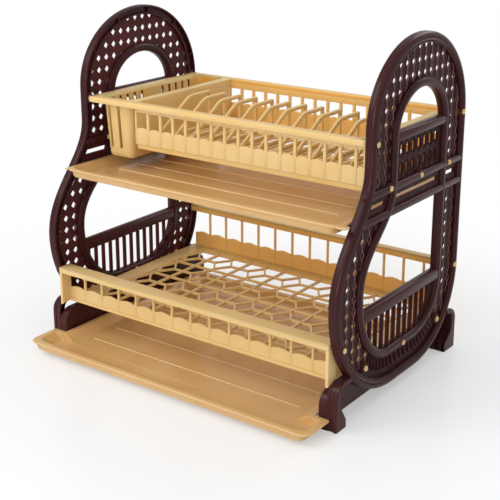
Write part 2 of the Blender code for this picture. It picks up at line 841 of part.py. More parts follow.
def cutlery_trough(name, material, group):
    front, rear, _, _ = plate_lines()
    left, right = trough_span()
    low = TROUGH_BOTTOM + TROUGH_ROUND
    floor = TROUGH_BOTTOM + WALL / 2
    rings = [(trough_loop(0), TROUGH_TOP), (trough_loop(TROUGH_TAPER), low),
             (trough_loop(TROUGH_TAPER + TROUGH_ROUND), floor)]
    trough = basin(name, rings, WALL)
    half = TROUGH_SLOT / 2
    span = TROUGH_SLOT_PITCH * (TROUGH_SLOTS - 1)
    quarter = (rear - front) / 4
    cuts = []
    for middle in (front + quarter, rear - quarter):
        for y in steps_between(middle - span / 2, middle + span / 2, TROUGH_SLOT_PITCH):
            cuts.append(rectangle(y - half, y + half, TROUGH_SLOT_FOOT, TROUGH_SLOT_TOP))
    pierce(trough, cuts, "x", -BASKET_X, (left + right) / 2)
    cuts = []
    for i in (1, 2):
        x = left + TROUGH_SLOT_PITCH * i - half
        cuts.append(rectangle(x - half, x + half, TROUGH_SLOT_FOOT, TROUGH_SLOT_TOP))
    pierce(trough, cuts, "y", front - RIM_BAR, front + RIM_BAR)
    high = TROUGH_TOP - TROUGH_PARTITION_DROP
    reach = trough_inset(high)
    shape = [(left + TROUGH_TAPER, low), (left + TROUGH_TAPER + TROUGH_ROUND, floor),
             (right - TROUGH_TAPER - TROUGH_ROUND, floor), (right - TROUGH_TAPER, low),
             (right - reach, high), (left + reach, high)]
    middle = (front + rear) / 2
    combine(trough, panel("partition", [shape], "y", middle - WALL / 2, middle + WALL / 2), "UNION")
    combine(trough, floor_pins(-1, left + trough_inset(PIN_LEVEL) - WALL / 4), "UNION")
    return finish(trough, name, material, group, (0, 0, 0))


def floor_pins(side, root):
    # Pins on shoulders that reach from the root out to the frame
    tip = side * (OUTER_X + PIN_PROUD)
    near, far = sorted((root, side * BASKET_X))
    items = []
    for y, z in pin_places()[0][2:]:
        shoulder = box("shoulder", (near, y - SHOULDER_DEPTH / 2, z - SHOULDER_HEIGHT / 2),
                       (far, y + SHOULDER_DEPTH / 2, z + SHOULDER_HEIGHT / 2))
        stem = pin("pin", y, z, side * (BASKET_X - PIN_RADIUS / 2), tip, PIN_RADIUS)
        items.append(combine(shoulder, stem, "UNION"))
    return gather(items, "pins")


def rim_pins():
    items = []
    for side in (-1, 1):
        for y, z in pin_places()[0][:2]:
            items.append(pin("pin", y, z, side * (BASKET_X - PIN_RADIUS), side * (OUTER_X + PIN_PROUD),
                             PIN_RADIUS))
    return gather(items, "pins")


def plate_basket(name, material, group):
    _, _, _, right = plate_lines()
    section = unite([plate_walls(), plate_floor(), base_rail()])
    combine(section, floor_pins(1, right - WALL), "UNION")
    return finish(section, name, material, group, (0, 0, 0))


def plate_rim(name, material, group):
    # A flat rim round the plate section and the trough, pinned at its four corners
    front, rear, left, right = plate_lines()
    loops = [rectangle(-BASKET_X, BASKET_X, PLATE_FRONT, PLATE_REAR),
             rectangle(left, right, front, rear), trough_loop(WALL / 2)]
    rim = panel("rim", loops, "z", PLATE_TOP - RIM_HEIGHT, PLATE_TOP)
    combine(rim, rim_pins(), "UNION")
    return finish(rim, name, material, group, (0, 0, 0))


# Bowl basket

def bowl_floor_holes():
    # Openings between ribs, cross bars and a diamond in the middle of each cell
    half, row = CELL_BAY / 2, CELL_ROW / 2
    wide, tall = DIAMOND_HALF_WIDTH, DIAMOND_HALF_HEIGHT
    rear = [(-half, 0), (-wide, 0), (0, tall), (wide, 0), (half, 0), (half, row), (-half, row)]
    front = [(-x, -y) for x, y in rear]
    diamond = [(wide, 0), (0, tall), (-wide, 0), (0, -tall)]
    border = BASKET_X - BORDER_SIDE
    holes = []
    for j in range(BOWL_ROWS + 1):
        y = REAR_Y - CELL_REAR - CELL_ROW * j - row
        shapes = (rear, diamond, front) if j < BOWL_ROWS else (rear,)
        for i in range(BOWL_BAYS):
            x = CELL_BAY * (i - (BOWL_BAYS - 1) / 2)
            for shape in shapes:
                hole = [(x + a, y + b) for a, b in inset(shape, STRUT / 2)]
                holes.append(between(hole, -border, border, 0))
    return holes


def bowl_posts():
    count = int(BASKET_X / BOWL_POST_PITCH)
    posts = [BOWL_POST_PITCH * i for i in range(-count + 1, count)]
    end = BASKET_X - BOWL_END_WALL + BOWL_POST_WIDTH / 2
    return [-end] + posts + [end]


def bowl_end(side):
    # The small end wall that closes the front rim at one side
    wall = BOWL_FRONT + BOWL_FRONT_BAR
    shape = [(BOWL_FRONT, BOWL_FLOOR - BOWL_END_DROP), (wall, BOWL_FLOOR - BOWL_FLOOR_THICK / 2),
             (wall, BOWL_FRONT_TOP - BOWL_RIM_FRONT / 2),
             (BOWL_FRONT, BOWL_FRONT_TOP - BOWL_RIM_FRONT / 2)]
    return panel("end", [shape], "x", side * (BASKET_X - BOWL_END_WALL), side * BASKET_X)


def bowl_basket(name, material, group):
    wall = BOWL_FRONT + BOWL_FRONT_BAR - WALL
    back = BOWL_REAR - BOWL_REAR_WALL
    low = BOWL_FLOOR - BOWL_FLOOR_THICK
    middle = BOWL_FLOOR - BOWL_FLOOR_THICK / 2
    floor = box("floor", (-BASKET_X, wall, low), (BASKET_X, back + WALL, BOWL_FLOOR))
    pierce(floor, bowl_floor_holes(), "z", low - OVERRUN, BOWL_FLOOR + OVERRUN)
    front_rim = box("rim", (-BASKET_X, BOWL_FRONT, BOWL_FRONT_TOP - BOWL_RIM_FRONT),
                    (BASKET_X, wall + WALL + OVERLAP, BOWL_FRONT_TOP))
    rear_rim = box("rim", (-BASKET_X, BOWL_REAR - BOWL_REAR_BAR, BOWL_REAR_TOP - BOWL_RIM_REAR),
                   (BASKET_X, BOWL_REAR, BOWL_REAR_TOP))
    posts = bowl_posts()
    items = [floor]
    sides = ((wall, BOWL_BAND_FRONT, BOWL_FRONT_TOP, BOWL_RIM_FRONT),
             (back, BOWL_BAND_REAR, BOWL_REAR_TOP, BOWL_RIM_REAR))
    for y, band, top, rim in sides:
        cuts = windows(posts, BOWL_POST_WIDTH, band, top - rim - POST_LIP, BOWL_SCALLOP)
        face = box("wall", (-BASKET_X + OVERLAP, y, middle), (BASKET_X - OVERLAP, y + WALL, top - rim / 2))
        items.append(pierce(face, cuts, "y", y - OVERRUN, y + WALL + OVERRUN))
    items += [bowl_end(-1), bowl_end(1), front_rim, rear_rim]
    basket = unite(items)
    _, places = pin_places()
    pins = [pin("pin", y, z, side * (BASKET_X - PIN_RADIUS), side * (OUTER_X + PIN_PROUD), PIN_RADIUS)
            for side in (-1, 1) for y, z in places]
    combine(basket, gather(pins, "pins"), "UNION")
    return finish(basket, name, material, group, (0, 0, 0))


# Drip trays

def tee_loop(front, shoulder, rear, wide, body, distance):
    # A wide front part and a narrower body, moved inwards by the distance
    small = TRAY_WING_CORNER
    corner = min(TRAY_CORNER, shoulder - front - 2 * small) - distance * TRAY_CORNER_SHARE
    points = []
    across, back = wide - distance, shoulder - distance
    spots = ((across, front + distance, corner, 3), (across, back, small, 0),
             None, (body - distance, rear - distance, corner, 0))
    for spot in spots:
        if spot is None:
            points.append((body - distance, back))
            continue
        x, y, radius, turn = spot
        rise = radius if turn == 3 else -radius
        points += arc((x - radius, y + rise), (radius, radius), turn * RIGHT_ANGLE,
                      (turn + 1) * RIGHT_ANGLE, CORNER_STEPS)
    return points + [(-x, y) for x, y in reversed(points)]


def drip_tray(name, top, front, shoulder, lip_half, has_wide_basin, material, group):
    rear = REAR_Y - TRAY_REAR_GAP
    body = lip_half
    lip = tee_loop(front, shoulder, rear, TRAY_FLANGE, body, 0)

    def ring(distance):
        if has_wide_basin:
            return tee_loop(front, shoulder, rear, TRAY_FLANGE, body, distance)
        corner = TRAY_CORNER - distance * TRAY_CORNER_SHARE
        return rounded(-body + distance, body - distance, front + distance, rear - distance, corner)

    plate = panel("lip", [lip, ring(TRAY_LIP)], "z", top - TRAY_LIP_THICK, top)
    level = top - TRAY_LIP_THICK / 2
    floor = top - TRAY_HEIGHT + TRAY_SHEET / 2
    rings = [(ring(TRAY_LIP - TRAY_SHEET), level), (ring(TRAY_LIP + TRAY_SHEET), level),
             (ring(TRAY_LIP + TRAY_SLOPE), floor)]
    bowl = basin("basin", rings, TRAY_SHEET)
    skirt = panel("skirt", [cup(lip, inset(lip, TRAY_SHEET), shoulder - TRAY_LIP, False)], "z",
                  top - TRAY_HEIGHT, level)
    tray = unite([plate, bowl, skirt])
    ribs = []
    reach = body - TRAY_LIP - TRAY_SLOPE - TRAY_RIB_MARGIN
    start = shoulder + TRAY_LIP + TRAY_SLOPE
    pitch = (rear - TRAY_LIP - TRAY_SLOPE - start) / TRAY_RIBS
    for i in range(TRAY_RIBS):
        y = start + pitch * (i + 1 / 2)
        ribs.append(box("rib", (-reach, y - TRAY_RIB_WIDTH / 2, floor),
                        (reach, y + TRAY_RIB_WIDTH / 2, floor + TRAY_SHEET / 2 + TRAY_RIB_RISE)))
    combine(tray, gather(ribs, "ribs"), "UNION")
    return finish(tray, name, material, group, (0, 0, 0))


# Build

def main():
    clear_scene()
    rack = new_collection("two_tier_dish_rack")
    brown = plastic("brown_polypropylene", BROWN, GLOSS)
    cream = plastic("cream_polypropylene", CREAM, SATIN)
    tan = plastic("tan_polypropylene", TAN, GLOSS)
    for word, side in (("right", 1), ("left", -1)):
        side_frame(word + "_side_frame", side, brown, rack)
        foot_rail(word + "_foot_rail", side, brown, rack)
    plate_basket("upper_basket", cream, rack)
    plate_rim("upper_basket_rim", cream, rack)
    dividers("plate_divider", cream, rack)
    cutlery_trough("cutlery_trough", cream, rack)
    bowl_basket("lower_basket", cream, rack)
    drip_tray("upper_drip_tray", UPPER_TRAY_TOP, REAR_Y - UPPER_TRAY_FRONT,
              REAR_Y - UPPER_TRAY_SHOULDER, INNER_X - TRAY_GAP, False, tan, rack)
    drip_tray("lower_drip_tray", LOWER_TRAY_TOP, BELLY_Y - LOWER_TRAY_REACH,
              FOOT_FRONT - FOOT_FRONT_GAP, CHEEK_X - TRAY_GAP, True, tan, rack)


main()
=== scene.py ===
import math
import bmesh
import bpy
import numpy as np
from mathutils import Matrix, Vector


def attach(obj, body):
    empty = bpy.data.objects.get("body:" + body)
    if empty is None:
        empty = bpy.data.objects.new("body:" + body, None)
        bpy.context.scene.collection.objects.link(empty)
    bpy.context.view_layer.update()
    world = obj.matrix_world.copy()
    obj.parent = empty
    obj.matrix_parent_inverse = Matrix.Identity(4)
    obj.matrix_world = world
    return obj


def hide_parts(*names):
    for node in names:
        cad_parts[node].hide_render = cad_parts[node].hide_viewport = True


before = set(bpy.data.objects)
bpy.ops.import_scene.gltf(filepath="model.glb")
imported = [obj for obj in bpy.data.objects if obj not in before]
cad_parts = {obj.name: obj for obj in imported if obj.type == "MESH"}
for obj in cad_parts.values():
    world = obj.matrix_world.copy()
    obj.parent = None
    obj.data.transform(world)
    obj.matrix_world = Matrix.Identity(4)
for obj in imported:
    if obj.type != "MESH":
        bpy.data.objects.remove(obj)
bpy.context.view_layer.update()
mm = 0.001  # every shape below is drawn in millimetres
basketEnd, rackEnd = 227.7, 243  # reach of the baskets and of the whole rack to either side
# pins of the plate basket's rim, of its tabs and of the bowl basket, as (y, z)
rimPins, tabPins = [(-51, 345.5), (179, 345.5)], [(-15, 283), (64, 283), (143, 283)]
bowlPins = [(-116, 104), (179, 127), (-63, 60.5), (34, 60.5), (131, 60.5)]


def addObject(name, data):
    made = bpy.data.objects.new(name, data)
    bpy.context.scene.collection.objects.link(made)
    return made


# Camera, from the corners of the rack in the photograph

view = dict(place=(0.8526, -1.1447, 0.6551), azimuth=36.152, elevation=16.888, lens=78.0, shift=-0.1,
            sensor=36, farthest=60)


def makeCamera(v):
    camera = addObject("camera", bpy.data.cameras.new("camera"))
    a, e = math.radians(v["azimuth"]), math.radians(v["elevation"])
    back = Vector((math.sin(a) * math.cos(e), -math.cos(a) * math.cos(e), math.sin(e)))
    camera.location = v["place"]
    camera.rotation_mode = "QUATERNION"
    camera.rotation_quaternion = (-back).to_track_quat("-Z", "Y")
    camera.data.sensor_width = v["sensor"]
    camera.data.lens = v["lens"]
    camera.data.shift_y = v["shift"]
    camera.data.clip_end = v["farthest"]
    bpy.context.scene.camera = camera


# Materials

# values that all the plastics share: noise detail, grain height in millimetres, and the ranges of the masks below
patternShape = dict(flowDetail=3, patchDetail=4, grainDetail=2, grainHeight=0.05, contrast=(0.35, 0.65),
                    frontFacing=(-0.9, -0.4), outward=(0.02, 0.12), highlightSpan=0.08)


def linear(colour):  # sRGB hex to linear light
    c = np.array([int(colour[i:i + 2], 16) for i in (1, 3, 5)]) / 255
    return (*np.where(c > 0.04045, ((c + 0.055) / 1.055) ** 2.4, c / 12.92), 1)


def addNode(tree, kind, settings=(), values=(), links=()):
    node = tree.nodes.new(kind)
    for key, value in dict(settings).items():
        setattr(node, key, value)
    for key, value in dict(values).items():
        node.inputs[key].default_value = value
    for key, source in dict(links).items():
        tree.links.new(source, node.inputs[key])
    return node


def mouldedPlastic(name, look, f=patternShape):
    material = bpy.data.materials.new(name)
    material.use_nodes = True
    tree = material.node_tree
    shader = tree.nodes["Principled BSDF"]
    for socket, value in (("IOR", look["ior"]), ("Specular IOR Level", look["specular"]),
                          ("Subsurface Weight", look["glow"]), ("Subsurface Radius", look["glowRadius"]),
                          ("Subsurface Scale", look["glowDepth"] * mm)):
        shader.inputs[socket].default_value = value
    place = addNode(tree, "ShaderNodeTexCoord").outputs["Object"]

    def noise(size, detail):  # size in millimetres from one patch to the next
        return addNode(tree, "ShaderNodeTexNoise", values={"Scale": 1 / (size * mm), "Detail": detail},
                       links={"Vector": place}).outputs["Fac"]

    def spread(source, low, high, start, end):  # start to end becomes low to high, and no further
        return addNode(tree, "ShaderNodeMapRange", links={"Value": source}, values={
            "From Min": start, "From Max": end, "To Min": low, "To Max": high}).outputs["Result"]

    def blend(share, a, b):  # sockets of the mix node: 0 is the share, 6 and 7 are the two colours
        node = addNode(tree, "ShaderNodeMix", {"data_type": "RGBA"})
        for socket, value in ((0, share), (6, a), (7, b)):
            if isinstance(value, bpy.types.NodeSocket):
                tree.links.new(value, node.inputs[socket])
            else:
                node.inputs[socket].default_value = value
        return node.outputs[2]

    flow = blend(spread(noise(look["flow"], f["flowDetail"]), 0, look["flowShare"], *f["contrast"]),
                 linear(look["colour"]), linear(look["flowColour"]))
    geometry = addNode(tree, "ShaderNodeNewGeometry")
    normal = addNode(tree, "ShaderNodeSeparateXYZ", links={"Vector": geometry.outputs["Normal"]}).outputs
    at = addNode(tree, "ShaderNodeSeparateXYZ", links={"Vector": place}).outputs
    if "paintedLightColour" in look:  # painted light: front faces of walls further back are tinted honey, standing in for the light that comes through the others
        paintedLight = addNode(tree, "ShaderNodeMath", {"operation": "MULTIPLY"},
                       links={0: spread(at["Y"], 0, look["paintedLightShare"], look["paintedLightFrom"], look["paintedLightTo"]),
                              1: spread(normal["Y"], 1, 0, *f["frontFacing"])})
        flow = blend(paintedLight.outputs[0], flow, linear(look["paintedLightColour"]))
    if "outerShadeColour" in look:  # painted shade on the recessed side that faces away from the middle of the rack: x times the normal's x
        outward = addNode(tree, "ShaderNodeMath", {"operation": "MULTIPLY"}, links={0: at["X"], 1: normal["X"]})
        flow = blend(spread(outward.outputs[0], 0, 1, *f["outward"]), flow, linear(look["outerShadeColour"]))
    # painted highlight: edges with high pointiness turn paler, standing in for light glinting on them
    start = look["highlightFrom"]
    edgeHighlight = spread(geometry.outputs["Pointiness"], 0, look["highlightShare"], start, start + f["highlightSpan"])
    tree.links.new(blend(edgeHighlight, flow, linear(look["highlightColour"])), shader.inputs["Base Color"])
    patches = spread(noise(look["patch"], f["patchDetail"]), *look["roughness"], *f["contrast"])
    tree.links.new(patches, shader.inputs["Roughness"])
    grain = addNode(tree, "ShaderNodeBump", links={"Height": noise(look["grain"], f["grainDetail"])},
                    values={"Strength": look["grainStrength"], "Distance": f["grainHeight"] * mm})
    tree.links.new(grain.outputs["Normal"], shader.inputs["Normal"])
    return material


# Glossy dark polypropylene, injection moulded: near-black red-brown, with thin pale lines of painted highlight
# along its edges
frameLook = dict(colour="#351517", flowColour="#431e1f", flow=60, flowShare=0.7,
                 highlightColour="#7a4a48", highlightShare=0.2, highlightFrom=0.52,
                 patch=14, roughness=(0.2, 0.3), grain=1.6, grainStrength=0.08, ior=1.3, specular=0.4,
                 glow=0.0, glowRadius=(1, 0.4, 0.3), glowDepth=1)
# The thin web of the side frames: satin, with painted light making it paler on its smooth inner face and painted
# shade making it darker on the recessed outer one
webLitAndShadedLook = dict(frameLook, colour="#4c2627", flowColour="#5a2e2e", outerShadeColour="#341416", highlightShare=0,
               roughness=(0.34, 0.46), specular=0.2)
# The raised strands of the web: a painted highlight makes them paler, so that they draw thin lines
strandHighlightLook = dict(frameLook, colour="#835e5b", flowColour="#8f6966", highlightShare=0)
# Satin cream polypropylene: its thin walls let some light through; the honey yellow of walls further back is
# painted light, and a painted highlight pales its edges
basketLook = dict(colour="#e2bf7d", flowColour="#deb66b", flow=70, flowShare=0.8,
                  highlightColour="#ecd3a0", highlightShare=0.4, highlightFrom=0.5,
                  patch=18, roughness=(0.3, 0.44), grain=1.8, grainStrength=0.1, ior=1.45, specular=0.5,
                  glow=0.3, glowRadius=(1.0, 0.62, 0.3), glowDepth=2,
                  paintedLightColour="#f2b13c", paintedLightFrom=-0.02, paintedLightTo=0.17, paintedLightShare=0.85)
# Glossy tan polypropylene: a painted highlight makes it paler along its eased edges, with slow changes of tone and
# soft mirror patches
trayLook = dict(colour="#d5ac72", flowColour="#ca9a5c", flow=120, flowShare=0.5,
                highlightColour="#e6cb98", highlightShare=0.5, highlightFrom=0.5,
                patch=40, roughness=(0.14, 0.22), grain=2.6, grainStrength=0.05, ior=1.45, specular=0.5,
                glow=0.25, glowRadius=(1.0, 0.6, 0.3), glowDepth=2)


# Mesh building: a part is (points, faces), a piece is a list of parts. A stand function turns a drawing's two
# coordinates and a height above the drawing into points in space.

def gridQuads(index):  # neighbours in a row and a column make the four-sided faces
    return np.stack([index[..., :-1, :-1], index[..., :-1, 1:], index[..., 1:, 1:], index[..., 1:, :-1]],
                    -1).reshape(-1, 4)


def gridPart(points, wrapRows=False, wrapColumns=False, caps=False):  # points[copy, row, column]
    copies, rows, columns = points.shape[:3]
    index = np.arange(copies * rows * columns).reshape(copies, rows, columns)
    ends = np.concatenate([index[:, 0], index[:, -1]]).tolist() if caps else []
    if wrapRows:
        index = np.concatenate([index, index[:, :1]], 1)
    if wrapColumns:
        index = np.concatenate([index, index[:, :, :1]], 2)
    return points.reshape(-1, 3), gridQuads(index).tolist() + ends


def makePiece(name, parts, material, cadNode, slot="basket_plastic", body="rack", crease=40):
    points, faces, start = [], [], 0
    for partPoints, partFaces in parts:
        points.append(partPoints * mm)
        faces += [[start + i for i in face] for face in partFaces]
        start += len(partPoints)
    mesh = bpy.data.meshes.new(name)
    mesh.from_pydata(np.concatenate(points).tolist(), [], faces)
    work = bmesh.new()
    work.from_mesh(mesh)
    bmesh.ops.remove_doubles(work, verts=work.verts, dist=0.002 * mm)
    bmesh.ops.dissolve_degenerate(work, edges=work.edges, dist=0.001 * mm)
    bmesh.ops.recalc_face_normals(work, faces=work.faces)
    work.to_mesh(mesh)
    work.free()
    mesh.shade_smooth()
    mesh.set_sharp_from_angle(angle=math.radians(crease))
    mesh.materials.append(material)
    piece = addObject(name, mesh)
    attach(piece, body)
    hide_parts(cadNode)


def unit(vectors):
    return vectors / np.maximum(np.linalg.norm(vectors, axis=-1, keepdims=True), 1e-9)


def spot(x, y, z):  # points from three coordinates, each a number or an array
    return np.stack(np.broadcast_arrays(x, y, z), -1).astype(float)


def bars(start, end, wide, tall, corner, up=(0, 0, 1), ease=None, steps=3):
    # a rounded rectangle carried from start to end, drawn in by a quarter circle at both ends:
    # point = start + along * t + across * (a + r cos) + upward * (b + r sin)
    start, end = np.broadcast_arrays(np.atleast_2d(start), np.atleast_2d(end))
    ease = corner if ease is None else ease
    length = np.linalg.norm(end - start, axis=1)
    along = unit(end - start)
    upward = unit(up - (along @ np.array(up, float))[:, None] * along)
    across = np.cross(along, upward)
    turn = np.linspace(0, math.pi / 2, steps + 1)
    run = ease * (1 - np.cos(turn))
    reach = np.concatenate([np.tile(run, (len(start), 1)), length[:, None] - run[::-1]], 1)
    radius = corner - ease + ease * np.sin(np.concatenate([turn, turn[::-1]]))
    round4 = np.concatenate([turn + k * math.pi / 2 for k in range(4)])
    signs = np.repeat([(1, 1), (-1, 1), (-1, -1), (1, -1)], steps + 1, 0)
    half = np.stack(np.broadcast_arrays(np.atleast_1d(wide), np.atleast_1d(tall)), -1) / 2 - corner
    half = np.broadcast_to(half, (len(start), 2))
    a = signs[:, 0] * half[:, None, :1] + radius[:, None] * np.cos(round4)
    b = signs[:, 1] * half[:, None, 1:] + radius[:, None] * np.sin(round4)
    points = (start[:, None, None] + along[:, None, None] * reach[:, :, None, None]
              + across[:, None, None] * a[..., None] + upward[:, None, None] * b[..., None])
    return gridPart(points, wrapColumns=True, caps=True)


def inwardNormal(loop):  # the line between a point's two neighbours, given a quarter turn
    tangent = unit(np.roll(loop, -1, 0) - np.roll(loop, 1, 0))
    return np.stack([-tangent[:, 1], tangent[:, 0]], -1)


def offset(loop, distance):  # inwards where positive
    return loop + inwardNormal(loop) * distance


def alongLoop(loop, profile, stand, inward=1):
    # point = loop + inward normal * depth, lifted by the profile's height
    flat = loop[:, None] + (inwardNormal(loop) * inward)[:, None] * profile[None, :, :1]
    return gridPart(stand(flat[..., 0], flat[..., 1], profile[None, :, 1])[None], wrapRows=True, wrapColumns=True)


oneFace = np.array([(0, 1, 2, 3)])


def slab(points, quads, stand, low, high, ease):
    # a flat sheet given a thickness, with all its edges chamfered; an edge of one face only is an outline
    _, first, back = np.unique(np.round(points / 0.004).astype(np.int64), axis=0,
                               return_index=True, return_inverse=True)
    points, quads = points[first], back.reshape(-1)[quads]
    count = len(points)
    ends = np.stack([quads, np.roll(quads, -1, 1)], -1).reshape(-1, 2)
    ends = ends[ends[:, 0] != ends[:, 1]]
    outline = ends[~np.isin(ends[:, 0] * count + ends[:, 1], ends[:, 1] * count + ends[:, 0])]
    step = points[outline[:, 1]] - points[outline[:, 0]]
    side = unit(np.stack([step[:, 1], -step[:, 0]], -1))
    push = np.zeros_like(points)
    np.add.at(push, outline[:, 0], side)
    np.add.at(push, outline[:, 1], side)
    inner = points - unit(push) * ease * (np.linalg.norm(push, axis=1, keepdims=True) > 0.01)
    layers = [(inner, high), (points, high - ease), (points, low + ease), (inner, low)]
    solid = np.concatenate([stand(*flat.T, height) for flat, height in layers])
    faces = [quads, quads[:, ::-1] + 3 * count]
    for k in range(3):
        a, b = outline[:, 0] + k * count, outline[:, 1] + k * count
        faces.append(np.stack([b, a, a + count, b + count], -1))
    used, faces = np.unique(np.concatenate(faces), return_inverse=True)
    return solid[used], [list(dict.fromkeys(f)) for f in faces.reshape(-1, 4).tolist() if len(set(f)) > 2]


def holedCells(outlines, holes):
    # each cell is a ring of faces between its hole and its own outline
    points = np.stack([holes, outlines], 1)
    copies, _, count = points.shape[:3]
    index = np.arange(copies * 2 * count).reshape(copies, 2, count)
    after = np.roll(index, -1, 2)
    quads = np.stack([index[:, 0], index[:, 1], after[:, 1], after[:, 0]], -1).reshape(-1, 4)
    return points.reshape(-1, 2), quads


def boxOutlines(left, right, low, high, per):
    # points round a rectangle, the same number on each side, starting at its lower left corner
    sides = [np.atleast_1d(v).astype(float) for v in (left, right, low, high)]
    l, r, b, u = [v[:, None] for v in np.broadcast_arrays(*sides)]
    t = np.arange(per) / per
    across = np.concatenate([l + (r - l) * t, r + 0 * t, r + (l - r) * t, l + 0 * t], 1)
    upward = np.concatenate([b + 0 * t, b + (u - b) * t, u + 0 * t, u + (b - u) * t], 1)
    return np.stack([across, upward], -1)


def sheet(across, upward, stand, half, ease=0.5, keep=None):
    # a flat grid of points given a thickness; the cells that keep leaves out become holes
    points = np.stack(np.meshgrid(across, upward), -1).reshape(-1, 2)
    quads = gridQuads(np.arange(len(points)).reshape(len(upward), -1))
    if keep is not None:
        quads = quads[keep(points[quads].mean(1))]
    return slab(points, quads, stand, -half, half, ease)


def roundedOutline(left, right, low, high, corner, per=16):
    # a rectangle's points, closest together at its corners, each pushed out by the corner radius
    # from the nearest point of the rectangle that is smaller by that radius
    t = 0.5 - 0.5 * np.cos(np.arange(per) * math.pi / per)
    corners = np.array([(left, low), (right, low), (right, high), (left, high)], float)
    after = np.roll(corners, -1, 0)
    points = (corners[:, None] + (after - corners)[:, None] * t[:, None]).reshape(-1, 2)
    near = np.clip(points, (left + corner, low + corner), (right - corner, high - corner))
    return near + unit(points - near) * corner


def wallOutline(f, inset, corner, per=16):  # a basket's walls seen from above, moved inwards
    left, front = f["left"] + inset, f["front"] + inset
    return roundedOutline(left, f["right"] - inset, front, f["rear"] - inset, corner, per)


def easedCorners(corners, radius, steps=6):
    # each corner becomes a parabola between a point on either side: (1 - t)^2 a + 2 t (1 - t) corner + t^2 b
    corners = np.array(corners, float)
    reach = np.broadcast_to(radius, len(corners))[:, None]
    a = corners + unit(np.roll(corners, 1, 0) - corners) * reach
    b = corners + unit(np.roll(corners, -1, 0) - corners) * reach
    t = np.linspace(0, 1, steps)[None, :, None]
    points = (1 - t) ** 2 * a[:, None] + 2 * t * (1 - t) * corners[:, None] + t ** 2 * b[:, None]
    return points.reshape(-1, 2)


fenceShape = dict(samples=8, bend=0.75, ease=0.5, foot=1, head=3, proud=0.9, corner=1.1)


def fence(posts, f, stand, thick, g=fenceShape):
    # a low band with a bar at every post; from post to post its top edge is
    # band + ripple * ((1 - cos(2 pi t)) / 2) ^ bend
    t = np.arange(g["samples"]) / g["samples"]
    across = np.append((posts[:-1, None] + np.diff(posts)[:, None] * t).ravel(), posts[-1])
    wave = np.append(np.tile(0.5 - 0.5 * np.cos(2 * math.pi * t), len(posts) - 1), 0) ** g["bend"]
    low, high = np.full_like(across, f["low"]), f["band"] + f["ripple"] * wave
    points = np.concatenate([np.stack([across, low], -1), np.stack([across, high], -1)])
    half = thick / 2
    band = slab(points, gridQuads(np.arange(len(points)).reshape(2, -1)), stand, -half, half, g["ease"])
    foot, head = [stand(posts[1:-1], level, 0) for level in (f["low"] + g["foot"], f["high"] + g["head"])]
    bar = bars(foot, head, f["post"], thick + g["proud"], g["corner"], stand(0, 0, 1) - stand(0, 0, 0))
    return [band, bar]


pinShape = dict(radius=3.6, ease=0.8, steps=4)


def roundPins(spots, start=basketEnd - 3, sides=(-1, 1), f=pinShape):  # along X at (y, z), out to the rack's end
    y, z = np.array(spots, float).T
    wide = 2 * f["radius"]
    return [bars(spot(side * start, y, z), spot(side * rackEnd, y, z), wide, wide, wide / 2, ease=f["ease"],
                 steps=f["steps"]) for side in sides]


def within(loop, points):
    # true where a line to one side crosses the loop an odd number of times
    a, b = loop, np.roll(loop, -1, 0)
    y, z = points[:, None, 0], points[:, None, 1]
    crosses = (a[:, 1] > z) != (b[:, 1] > z)
    at = a[:, 0] + (z - a[:, 1]) * (b[:, 0] - a[:, 0]) / np.where(a[:, 1] == b[:, 1], 1, b[:, 1] - a[:, 1])
    return (crosses & (y < at)).sum(1) % 2 == 1


def ellipseArc(centre, radii, start, end, count=48):  # angles in quarter turns
    turn = np.linspace(start, end, count) * math.pi / 2
    return np.stack([centre[0] + radii[0] * np.cos(turn), centre[1] + radii[1] * np.sin(turn)], -1)


def cubic(a, b, c, d, count=64):  # a curve from a to d, drawn towards b and c on its way
    t = np.linspace(0, 1, count)[:, None]
    a, b, c, d = map(np.array, (a, b, c, d))
    return (1 - t) ** 3 * a + 3 * t * (1 - t) ** 2 * b + 3 * t * t * (1 - t) * c + t ** 3 * d


def runningLength(line):
    return np.concatenate([[0], np.cumsum(np.linalg.norm(np.diff(line, axis=0), axis=1))])


def evenLoop(pieces, count):
    # a closed line through all points, in equal steps of its running length
    points = np.concatenate(pieces)
    loop = np.vstack([points, points[:1]])
    run = runningLength(loop)
    at = np.linspace(0, run[-1], count, endpoint=False)
    return np.stack([np.interp(at, run, loop[:, k]) for k in (0, 1)], -1)


def crossing(loop, level):  # front and rear place of a loop at a level
    after = np.roll(loop, -1, 0)
    hit = (loop[:, 1] > level) != (after[:, 1] > level)
    share = (level - loop[hit, 1]) / (after[hit, 1] - loop[hit, 1])
    at = loop[hit, 0] + share * (after[hit, 0] - loop[hit, 0])
    return at.min(), at.max()


# Side frames

frameShape = dict(
    centre=235, web=0.8, middle=64, band=(246, 287), lip=10, handRail=(337, 351), crossbar=(119, 137),
    rail=13.6, bury=6, studColumns=16, studRows=17, halfCount=14, rowCount=26, studTop=449, studLow=57,
    studWide=5, studTall=5.3,
    cell=15.3, cells=7, cellEnds=(-3, 131), cellWide=4.75, cellTall=9.5, cellPoint=4, cellHalf=1.3, cellRidge=1.2,
    strand=0.5, strandRun=(30, 462, 2.125), bulge=(0.3, 3.9),
    slat=15.5, slatWide=5, slatThick=5, slats=(-62, 122), slatTop=124)
ledgeShape = dict(height=-10.7, wide=9, thick=3, level=250.6, front=-84, rear=172)  # carries the upper drip tray
rimWallShape = dict(first=12, step=24, near=2.4, far=11.6, height=-4, wide=1.6, tall=4.6)
ribShape = dict(top=40, front=-66, rear=158, step=4, near=24, far=42, lean=5, height=1.6, wide=4.2, tall=3.4)
bossShape = dict(wide=15, reach=5.6, ease=1.2, steps=5)
# the belt's ends and those of its slots: from the outer edge, and from the opening's edge to either side
beltShape = dict(ends=(7, 6), slotEnds=(19, 18, 7), slot=(263.4, 269.6), bury=5, half=2.2, ease=0.8)


